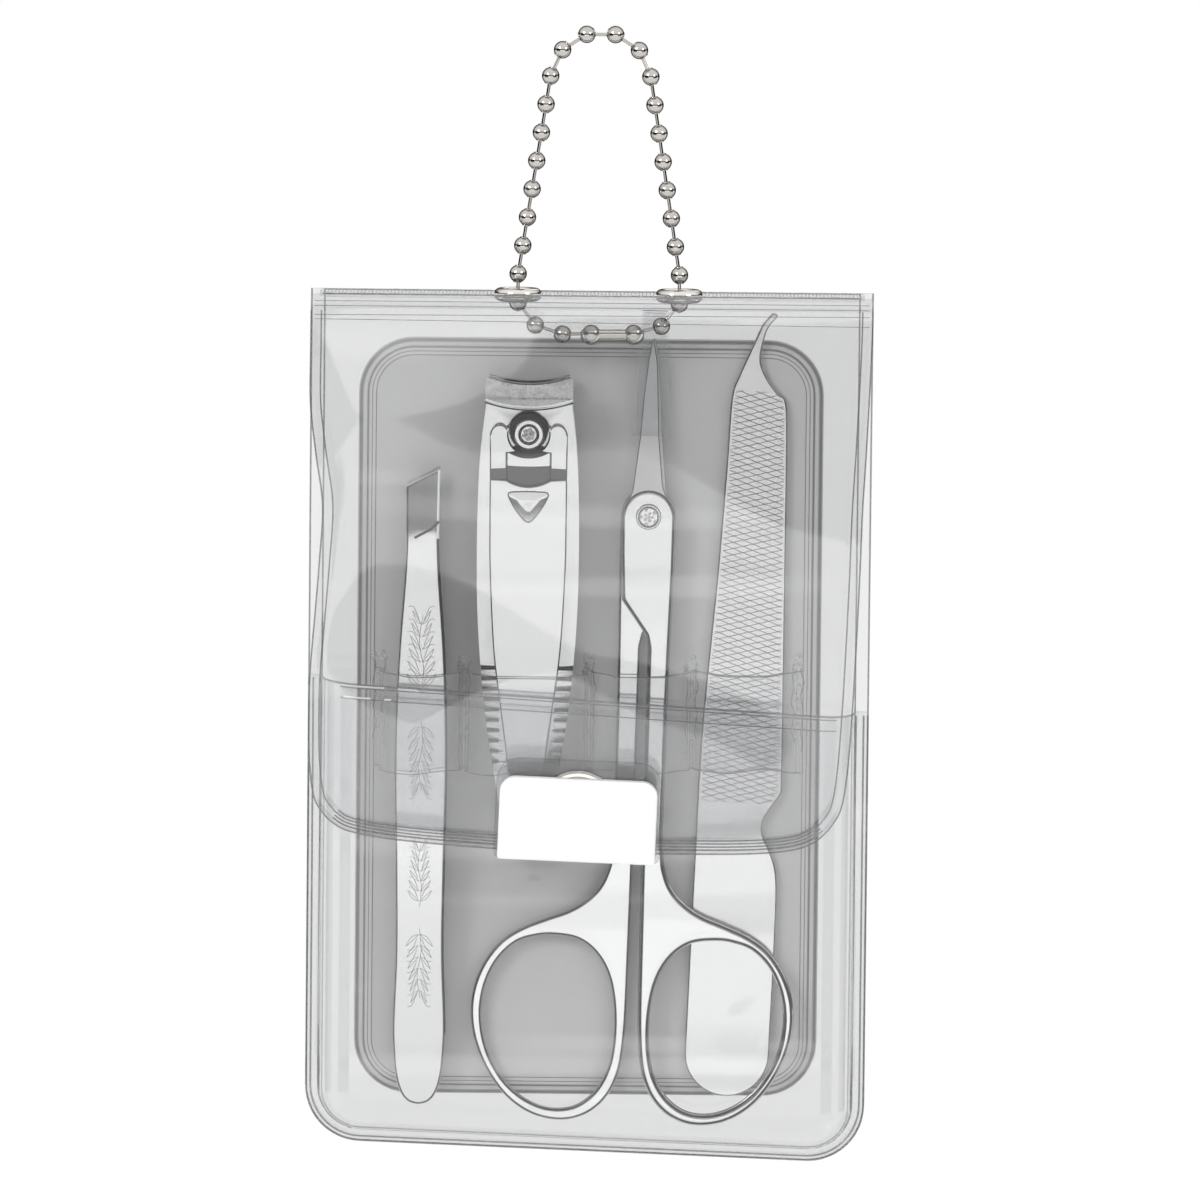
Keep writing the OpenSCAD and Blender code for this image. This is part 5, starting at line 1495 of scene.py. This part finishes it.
def file_place():
    """Matrix of the leaning file, which turns about a point 30 mm below its tip."""
    return (at_case(FILE_X, 0, FILE_TIP - 30) @ Matrix.Rotation(FILE_LEAN, 4, "Y")
            @ Matrix.Translation(Vector((0, 0, 30))))


def file_pieces(sizes):
    """Nail file with two sets of crossing cuts raised on its face."""
    outline = np.concatenate([catmull(FILE_RIGHT, 6), catmull(FILE_GRIP, 6),
                              arc(0, -90 + 4.85, 4.85, 0, -180, 24), catmull(FILE_LEFT, 6)])
    outline = filleted(tidy_loop(outline, -1, 0.05), 0.15)
    y0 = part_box("nail_file")[0].y / MM
    place = file_place()
    blank = plate_part(outline, y0 + 0.02, TOOL_BACK_Y, 0.2, 0.12, place=place, steps=7)
    obj = joined("file_blank", [blank], finish_of("Polished steel"))
    settle(obj, "file", "polished_steel", "nail_file")
    pitch = sizes.cut_pitch / MM
    left = catmull(FILE_LEFT, 8)
    right = np.concatenate([catmull(FILE_RIGHT, 8), catmull(FILE_GRIP, 8)])
    left_z, left_x = left[:, 1], left[:, 0]
    order = np.argsort(right[:, 1])
    seeds, turns, lengths = [], [], []
    for slope in (math.radians(-20), math.radians(15.5)):
        for k in range(-2, 70):
            z0 = -9.2 - k * pitch
            xs = np.linspace(-5.2, 5.2, 80)
            zs = z0 + np.tan(slope) * xs
            lo = np.interp(zs, left_z, left_x) + 0.35
            hi = np.interp(zs, right[order, 1], right[order, 0]) - 0.35
            ok = (xs > lo) & (xs < hi) & (zs < -9.0) & (zs > -56.2)
            if ok.sum() < 4:
                continue
            a, b = np.array([xs[ok][0], zs[ok][0]]), np.array([xs[ok][-1], zs[ok][-1]])
            mid, run = (a + b) / 2, b - a
            seeds.append((place @ Vector((mid[0], y0 + 0.035, mid[1]))) * MM)
            turns.append(math.atan2(run[0], run[1]) + FILE_LEAN)
            lengths.append(float(np.hypot(*run)) * MM)
    cuts = spread("file_cuts", spread_of("File cuts", ridge_shape), seeds, turns, lengths,
                  {"Height": sizes.cut_height}, finish_of("File cuts"), sharp=30)
    settle(cuts, "file", "polished_steel")


TWEEZER_AXIS = Vector(JOINTS["tweezers_squeeze"]["pos_m"]) / MM
TWEEZER_SPREAD = 3.0
TWEEZER_LEN, TWEEZER_W, TWEEZER_T, TWEEZER_BOW = 74.6, 6.0, 0.9, 0.35
TWEEZER_SIDE = [(0.03, 0), (0.2, 0.35), (0.34, 1.4), (0.44, 3.4), (0.49, 6.5), (0.5, 10), (0.455, 18), (0.47, 28),
                (0.5, 40), (0.45, 51), (0.325, 62), (0.31, 68), (0.34, 80)]


def tweezer_outline():
    """One arm seen from the front, standing on its foot, cut slanting at the tip."""
    side = catmull([(a * TWEEZER_W, b) for a, b in TWEEZER_SIDE], 5)
    cut = lambda x: TWEEZER_LEN - 7 + (x + 9) * (9.2 / 18)
    right = side[side[:, 1] < cut(side[:, 0])]
    left = (side * (-1, 1))[side[:, 1] < cut(-side[:, 0])]
    xr, xl = right[-1][0], left[-1][0]
    return np.concatenate([right, [(xr, cut(xr)), (xl, cut(xl))], left[::-1]])


def rows_added(loop, step=1.2):
    """The outline with points added along its long runs."""
    loop = np.asarray(loop, float)
    out = []
    for a, b in zip(loop, np.roll(loop, -1, 0)):
        count = max(int(np.hypot(*(b - a)) / step), 1)
        out += [a + (b - a) * k / count for k in range(count)]
    return np.array(out)


def tweezer_lean(z):
    """Bow of an arm's inner face, and the tip's set towards the other arm."""
    knee = TWEEZER_LEN - 9
    return np.where(z > knee, -0.6 * (z - knee) / 9, TWEEZER_BOW * np.sin(math.pi * np.clip(z, 0, knee) / knee))


def tweezer_pieces(sizes):
    """Two bowed arms, with the tip ground thin and an engraved sprig in two places."""
    outline = filleted(tidy_loop(tweezer_outline(), 1), 0.25)
    base = Matrix.Translation(TWEEZER_AXIS)
    mirror = Matrix.Scale(-1, 4, Vector((0, 1, 0)))

    def ground(v, n):
        v, n = v.copy(), n.copy()
        over = np.clip(v[:, 2] - TWEEZER_LEN + 9 - v[:, 0] * 0.5, 0, None)
        outer = v[:, 1] > 0.45
        v[:, 1] = np.where(outer, v[:, 1] - over * 0.045, v[:, 1])
        n[(over > 0) & outer & (n[:, 1] > 0.5)] += (0, 0, 0.045)
        return v, n / np.linalg.norm(n, axis=1)[:, None]
    for name, body, node, place in (
            ("rear_arm", "tweezers", "tweezer_rear_arm", base @ Matrix.Translation(Vector((0, 0.05, 0)))),
            ("front_arm", "tweezer_front", "tweezer_front_arm",
             base @ Matrix.Rotation(math.radians(TWEEZER_SPREAD), 4, "X")
             @ Matrix.Translation(Vector((0, -0.05, 0))))):
        v, f, n = plate_part(rows_added(outline), 0, TWEEZER_T, 0.05, 0.3, steps=7,
                             bend=lambda x, z: tweezer_lean(z), dish=ground)
        v = v / MM
        if name == "front_arm":
            v, n = v * (1, -1, 1), n * (1, -1, 1)
            f = [face[::-1] for face in f]
        v, f, n = moved(v, n, f, place)
        obj = joined("tweezer_" + name, [(v, f, n)], finish_of("Polished steel"))
        settle(obj, body, "polished_steel", node)
    front = base @ Matrix.Rotation(math.radians(TWEEZER_SPREAD), 4, "X") @ Matrix.Translation(Vector((0, -0.05, 0)))
    # Painted highlight: a pale bead along the tip's cut end.
    tip = catmull([(x, z) for x, z in tweezer_outline() if z > TWEEZER_LEN - 9.4], 1)
    seen = [tip[(tip[:, 0] > -1.2)]]
    rim = [[tuple(front @ Vector((x - 0.1 * np.sign(x), 0.1 - (TWEEZER_T + float(tweezer_lean(z))
                                                           - max(z - TWEEZER_LEN + 9 - x * 0.5, 0) * 0.045), z - 0.08)))
            for x, z in line] for line in seen]
    settle(beads("tip_painted_highlight", rim, 0.36, "Painted highlight"), "tweezer_front", "polished_steel")
    # Painted shade: a near-black bead along the front arm's side edge.
    side = catmull([(a * TWEEZER_W, b) for a, b in TWEEZER_SIDE], 5)
    shade = [tuple(front @ Vector((x - 0.06, 0.14 - (TWEEZER_T + float(tweezer_lean(z))), z)))
             for x, z in side if 8 < z < TWEEZER_LEN - 9]
    settle(beads("arm_painted_shade_line", [shade], 0.24, "Painted shade black"), "tweezer_front", "polished_steel")
    # Painted shade: a near-black bead across the tip where its ground face steps down.
    notch = [tuple(front @ Vector((x, -(TWEEZER_T + 0.02), z))) for x, z in
             ((1.85, TWEEZER_LEN - 7.3), (0.9, TWEEZER_LEN - 8.2), (-0.9, TWEEZER_LEN - 9.2))]
    settle(beads("tip_step_painted_shade", [notch], 0.3, "Painted shade black"), "tweezer_front", "polished_steel")
    lines = []
    for z0, up, size in ((47.5, 1, 1.0), (44.5, -1, 0.9), (23.0, 1, 0.8), (20.5, -1, 0.9)):
        lines += sprig_lines(z0, up, size)
    seeds, turns, lengths = [], [], []
    for line in lines:
        for a, b in zip(line[:-1], line[1:]):
            mid = (a + b) / 2
            run = b - a
            y = -(TWEEZER_T + float(tweezer_lean(mid[1])))
            seeds.append((front @ Vector((mid[0], y + 0.01, mid[1]))) * MM)
            turns.append(math.atan2(run[0], run[1]))
            lengths.append(float(np.hypot(*run)) * MM * 1.1)
    engraving = spread("engraved_sprig", spread_of("File cuts", ridge_shape), seeds, turns, lengths,
                       {"Height": sizes.engraving / 2}, finish_of("Engraved line"))
    settle(engraving, "tweezer_front", "polished_steel")


def sprig_lines(z0, up, size):
    """A plain sprig: a stem with pairs of leaves and small curls, as lines in an arm's own millimetres."""
    lines = []
    stem = catmull([(0, 0), (0.25, 3), (-0.25, 6), (0.15, 9)], 5)
    lines.append(stem)
    for k in range(6):
        z = 0.8 + k * 1.45
        for side in (-1, 1):
            grow = 1.25 - 0.1 * k
            leaf = catmull([(0.1 * side, z), (side * 0.8 * grow, z + 0.35), (side * 1.35 * grow, z + 1.5),
                            (side * 0.95 * grow, z + 1.1), (0.1 * side, z)], 4)
            lines.append(leaf)
            lines.append(catmull([(side * 0.3, z + 0.5), (side * 0.9, z + 1.9), (side * 1.5, z + 2.0)], 4))
    return [line * size * (1, up) + (0, z0) for line in lines]


ARM_LEAN = math.radians(3.886)
CLIPPER_X, CLIPPER_LOW, PIN_UP, CLIPPER_HALF = -7.052, -64.4, 48.6, 5.1
LEVER_PIN = 39.9
LEVER_EDGE = [(1.07, 0), (1.69, 0.5), (2.14, 1.6), (2.4, 4), (2.94, 8), (3.83, 15), (4.32, 24), (4.4, 30),
              (4.4, LEVER_PIN - 5.1)]


def smooth_arc(x, mid, sag, half):
    """A shallow curve that is lowest in the middle."""
    return mid + sag * (np.asarray(x) / half) ** 2


def clipper_pieces(sizes):
    """Steel arms with a ground jaw, and the lever with its prongs, window, thumb pit, pin and tail rivet."""
    settle(softened("clipper_rear_arm", "clipper_rear", "Chrome steel", 0.2), "clipper", "polished_steel",
           "clipper_rear_arm")
    settle(softened("clipper_front_arm", "clipper_front", "Polished steel", 0.3), "clipper_front",
           "polished_steel", "clipper_front_arm")
    settle(softened("clipper_rivet", "tail_rivet", "Nickel plate", 0.1), "clipper", "nickel", "clipper_rivet")
    arm = at_case(CLIPPER_X, TOOL_BACK_Y - 1.25, CLIPPER_LOW) @ Matrix.Rotation(ARM_LEAN, 4, "X")
    jaw_band(arm)
    lever_pieces(at_case(CLIPPER_X, TOOL_BACK_Y - 6.15, CLIPPER_LOW + PIN_UP) @ Matrix.Rotation(ARM_LEAN, 4, "X")
                 @ Matrix.Translation(Vector((0, 0, -LEVER_PIN))))
    pin_pieces()


def jaw_band(arm):
    """Ground face of the front jaw, with a painted highlight line and a painted shade line where it meets the flat of
    the arm; dark beads paint the shade of the thumb grooves and of the arm's edges.
    """
    w = CLIPPER_HALF - 0.12
    x = np.linspace(-w, w, 40)
    top = np.minimum(55 + 13.8 - np.sqrt(14.5 ** 2 - x ** 2), 54.97) - 0.06
    low = smooth_arc(x, 51.75, 0.85, w)
    rows = 14
    z = top[None] + (low - top)[None] * np.linspace(0, 1, rows)[:, None]
    face = np.interp(z, [50, 52.8, 54.2, 55.0], [-1.2, -1.2, -0.7, -0.1])
    front = np.stack([np.repeat(x[None], rows, 0), face - 0.06, z], -1)
    back = front + (0, 0.1, 0)
    m = np.array(arm)
    v, f = sheet_part(*((g @ m[:3, :3].T + m[:3, 3]) * MM for g in (front, back)))
    settle(make_object("jaw_face", v, f, finish_of("Ground steel"), sharp=40), "clipper_front", "polished_steel")

    def line(mid, y):
        pts = np.stack([x, np.full(len(x), y), smooth_arc(x, mid, 0.85, w)], 1)
        return [tuple(q) for q in pts @ m[:3, :3].T + m[:3, 3]]
    settle(beads("jaw_painted_highlight", [line(51.76, -1.22)], 0.32, "Painted highlight"), "clipper_front", "polished_steel")
    settle(beads("jaw_painted_shade_line", [line(51.45, -1.18)], 0.18, "Painted shade black"), "clipper_front", "polished_steel")
    # Painted shade: dark steel beads across the arm's sides stand for the shade in its thumb grooves.
    sides = []
    for side in (-1, 1):
        for k in range(10):
            z = 11 + k * 1.2
            half = np.interp(z, [5, 10, 15, 20, 30], [2.9, 3.71, 4.52, 5.1, 5.6])
            pts = np.array([(side * (half - 1.5), -1.19, z), (side * (half - 0.12), -1.19, z)])
            sides.append([tuple(q) for q in pts @ m[:3, :3].T + m[:3, 3]])
    settle(beads("thumb_groove_painted_shade", sides, 0.12, "Painted shade steel"), "clipper_front", "polished_steel")
    # Painted shade: near-black beads along both edges of the arm.
    zs = np.linspace(1.2, 51.2, 50)
    half = np.interp(zs, [0, 0.3, 1.6, 5, 10, 15, 20, 27, 33.5, 41, 47, 52],
                     [0.35, 1.51, 2.32, 2.9, 3.71, 4.52, 5.1, 5.63, 5.8, 5.74, 5.45, 4.87])
    edges = []
    for side in (-1, 1):
        pts = np.stack([side * (half - 0.1), np.full(len(zs), -1.1), zs], 1)
        edges.append([tuple(q) for q in pts @ m[:3, :3].T + m[:3, 3]])
    settle(beads("arm_painted_shade_lines", edges, 0.2, "Painted shade black"), "clipper_front", "polished_steel")


def lever_pieces(place):
    """The lever's plate with its prongs set back, steps painted dark as shade, window with painted shade in it, and
    thumb pit.
    """
    p = LEVER_PIN
    side = catmull(LEVER_EDGE, 5)
    pit = catmull([(-2.15, p - 6.75), (-1.9, p - 7.6), (-1.1, p - 8.9), (0, p - 9.95), (1.1, p - 8.9), (1.9, p - 7.6),
                   (2.15, p - 6.75), (1.1, p - 6.62), (0, p - 6.58), (-1.1, p - 6.62)], 4, closed=True)
    low_window = [(x, p - 5.95 + 0.75 * (x / 2.5) ** 2) for x in np.linspace(2.5, -2.5, 11)]
    plate = np.concatenate([side, low_window, (side * (-1, 1))[::-1]])
    plate = filleted(tidy_loop(plate, 1), 0.2, least=30)
    notch = arc(0, p, 2.32, 25, -58, 10)
    prong = np.concatenate([[(4.4, p - 5.2), (4.42, p - 2), (4.42, p + 0.2)], arc(3.3, p + 0.05, 1.05, 0, 150, 8),
                            notch, [(2.45, p - 2.2), (2.45, p - 5.2)]])
    step = np.array([(4.38, p - 5.15), (4.38, p - 3.95), (2.5, p - 3.85), (2.5, p - 5.15)])
    parts = [plate_part(rows_added(plate, 2.0), -1.0, 0, 0.18, 0.1, holes=[pit], place=place, steps=6)]
    ramps = []
    for flip in (1, -1):
        parts.append(plate_part(prong * (flip, 1), -0.72, 0, 0.18, 0.08, place=place, steps=6))
        ramps.append(plate_part(filleted(step * (flip, 1), 0.2), -0.8, -0.5, 0.06, 0.02, place=place))
    lever = joined("lever", parts, finish_of("Polished steel"))
    settle(lever, "lever", "polished_steel", "clipper_lever")
    m = np.array(place)
    deep = np.array([0.0, -0.74, p - 8.0])
    rim = tidy_loop(pit, 1)
    grid = [np.array([(x, -0.93, z) for x, z in rim])]
    for k in (0.35, 0.7, 0.92):
        grid.append(grid[0] + (deep - grid[0]) * k + (0, 0.12 * math.sin(k * math.pi), 0))
    verts = np.concatenate(grid + [deep[None]])
    count, faces = len(rim), []
    for r in range(len(grid) - 1):
        for i in range(count):
            j = (i + 1) % count
            faces.append((r * count + i, r * count + j, (r + 1) * count + j, (r + 1) * count + i))
    last = (len(grid) - 1) * count
    faces += [(last + i, last + (i + 1) % count, len(verts) - 1) for i in range(count)]
    under = verts + (0, 0.15, 0)
    both = np.concatenate([verts, under])
    faces += [tuple(len(verts) + i for i in f[::-1]) for f in faces]
    faces += [(i, len(verts) + i, len(verts) + (i + 1) % count, (i + 1) % count) for i in range(count)]
    dimple = make_object("thumb_pit", (both @ m[:3, :3].T + m[:3, 3]) * MM, faces, finish_of("Chrome steel"), sharp=25)
    settle(dimple, "lever", "polished_steel")
    # Painted reflection: the step ramps are dark steel for the dark reflection a sloping step shows.
    settle(joined("lever_steps", ramps, finish_of("Painted shade steel")), "lever", "polished_steel")
    x = np.linspace(-2.44, 2.44, 15)

    def strip(top, low):
        return np.concatenate([np.stack([x, low(x)], 1), np.stack([x, top(x)], 1)[::-1]])
    # Painted shade under the pin: a black crescent and a dark steel strip, with a chrome band between them.
    crescent = strip(lambda a: p - 1.0 - 0.2 * a ** 2, lambda a: smooth_arc(a, p - 2.75, 0.75, 2.44))
    band = strip(lambda a: smooth_arc(a, p - 2.75, 0.75, 2.44), lambda a: smooth_arc(a, p - 3.75, 0.1, 2.44))
    rest = strip(lambda a: smooth_arc(a, p - 3.75, 0.1, 2.44), lambda a: smooth_arc(a, p - 5.9, 0.7, 2.44))
    for name, shape, front, finish in (("pin_shade", crescent, -0.3, "Painted shade black"),
                                       ("window_bright", band, -0.5, "Chrome steel"),
                                       ("window_painted_shade", rest, -0.4, "Painted shade steel")):
        made = joined(name, [plate_part(shape, front, -0.1, 0.06, 0.02, place=place)], finish_of(finish))
        settle(made, "lever", "polished_steel")


def pin_pieces():
    """The lever's pin: its shaft, a near-black ring of painted shadow round it, bright ring and small rough head."""
    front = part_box("clipper_pin")[0].y / MM
    place = at_case(CLIPPER_X, 0, CLIPPER_LOW + PIN_UP)
    ring = lambda r, n=40: arc(0, 0, r, 0, 360, n)[:-1]
    body = [plate_part(ring(0.96), front + 0.3, TOOL_BACK_Y - 0.02, 0.1, 0.1, place=place),
            plate_part(ring(1.75), front + 0.02, front + 0.5, 0.2, 0.1, holes=[ring(1.02)], place=place, steps=6)]
    settle(joined("lever_pin", body, finish_of("Chrome steel")), "clipper", "polished_steel", "clipper_pin")
    # Painted shadow: a near-black ring around the pin head.
    painted_shade_ring = plate_part(ring(2.12) + (0, 0.24), front + 0.3, front + 0.52, 0.1, 0.1, holes=[ring(0.97)], place=place)
    settle(joined("pin_painted_shade_ring", [painted_shade_ring], finish_of("Painted shade black")), "clipper", "polished_steel")
    seeds = [case_point(CLIPPER_X + r * math.cos(a), front + 0.3, CLIPPER_LOW + PIN_UP + r * math.sin(a))
             for r, a in [(0, 0)] + [(0.5, k * math.pi / 3 + 0.3) for k in range(6)]]
    pips = spread("pin_head", spread_of("Weld pips", knot_shape), seeds, [0.0] * 7, [1.0] * 7, {"Width": 0.00055},
                  finish_of("Ground steel"))
    settle(pips, "clipper", "polished_steel")


class MANICURE_PT_panel(bpy.types.Panel):
    """Panel that lists the making steps"""
    bl_idname = "MANICURE_PT_panel"
    bl_label = "Manicure Case"
    bl_space_type = "VIEW_3D"
    bl_region_type = "UI"
    bl_category = "Manicure Case"

    def draw(self, context):
        for operator in OPERATORS:
            self.layout.operator(operator.bl_idname)
        for group in GROUPS:
            settings = getattr(context.scene, group)
            box = self.layout.box()
            for key in settings.bl_rna.properties.keys():
                if key not in ("rna_type", "name"):
                    box.prop(settings, key)


OPERATORS = (MANICURE_OT_stage, MANICURE_OT_chain, MANICURE_OT_case, MANICURE_OT_flap, MANICURE_OT_tools)
GROUPS = {"case_sizes": CaseSizes, "tool_sizes": ToolSizes, "chain_sizes": ChainSizes, "case_colours": CaseColours}


def register():
    for cls in (*GROUPS.values(), *OPERATORS, MANICURE_PT_panel):
        bpy.utils.register_class(cls)
    for name, cls in GROUPS.items():
        setattr(bpy.types.Scene, name, bpy.props.PointerProperty(type=cls))


def unregister():
    for name in GROUPS:
        delattr(bpy.types.Scene, name)
    for cls in (MANICURE_PT_panel, *OPERATORS, *GROUPS.values()):
        bpy.utils.unregister_class(cls)


def main():
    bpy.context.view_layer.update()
    register()
    bpy.ops.manicure.stage()
    bpy.ops.manicure.chain()
    bpy.ops.manicure.case()
    bpy.ops.manicure.flap()
    bpy.ops.manicure.tools()


if __name__ == "__main__":
    main()
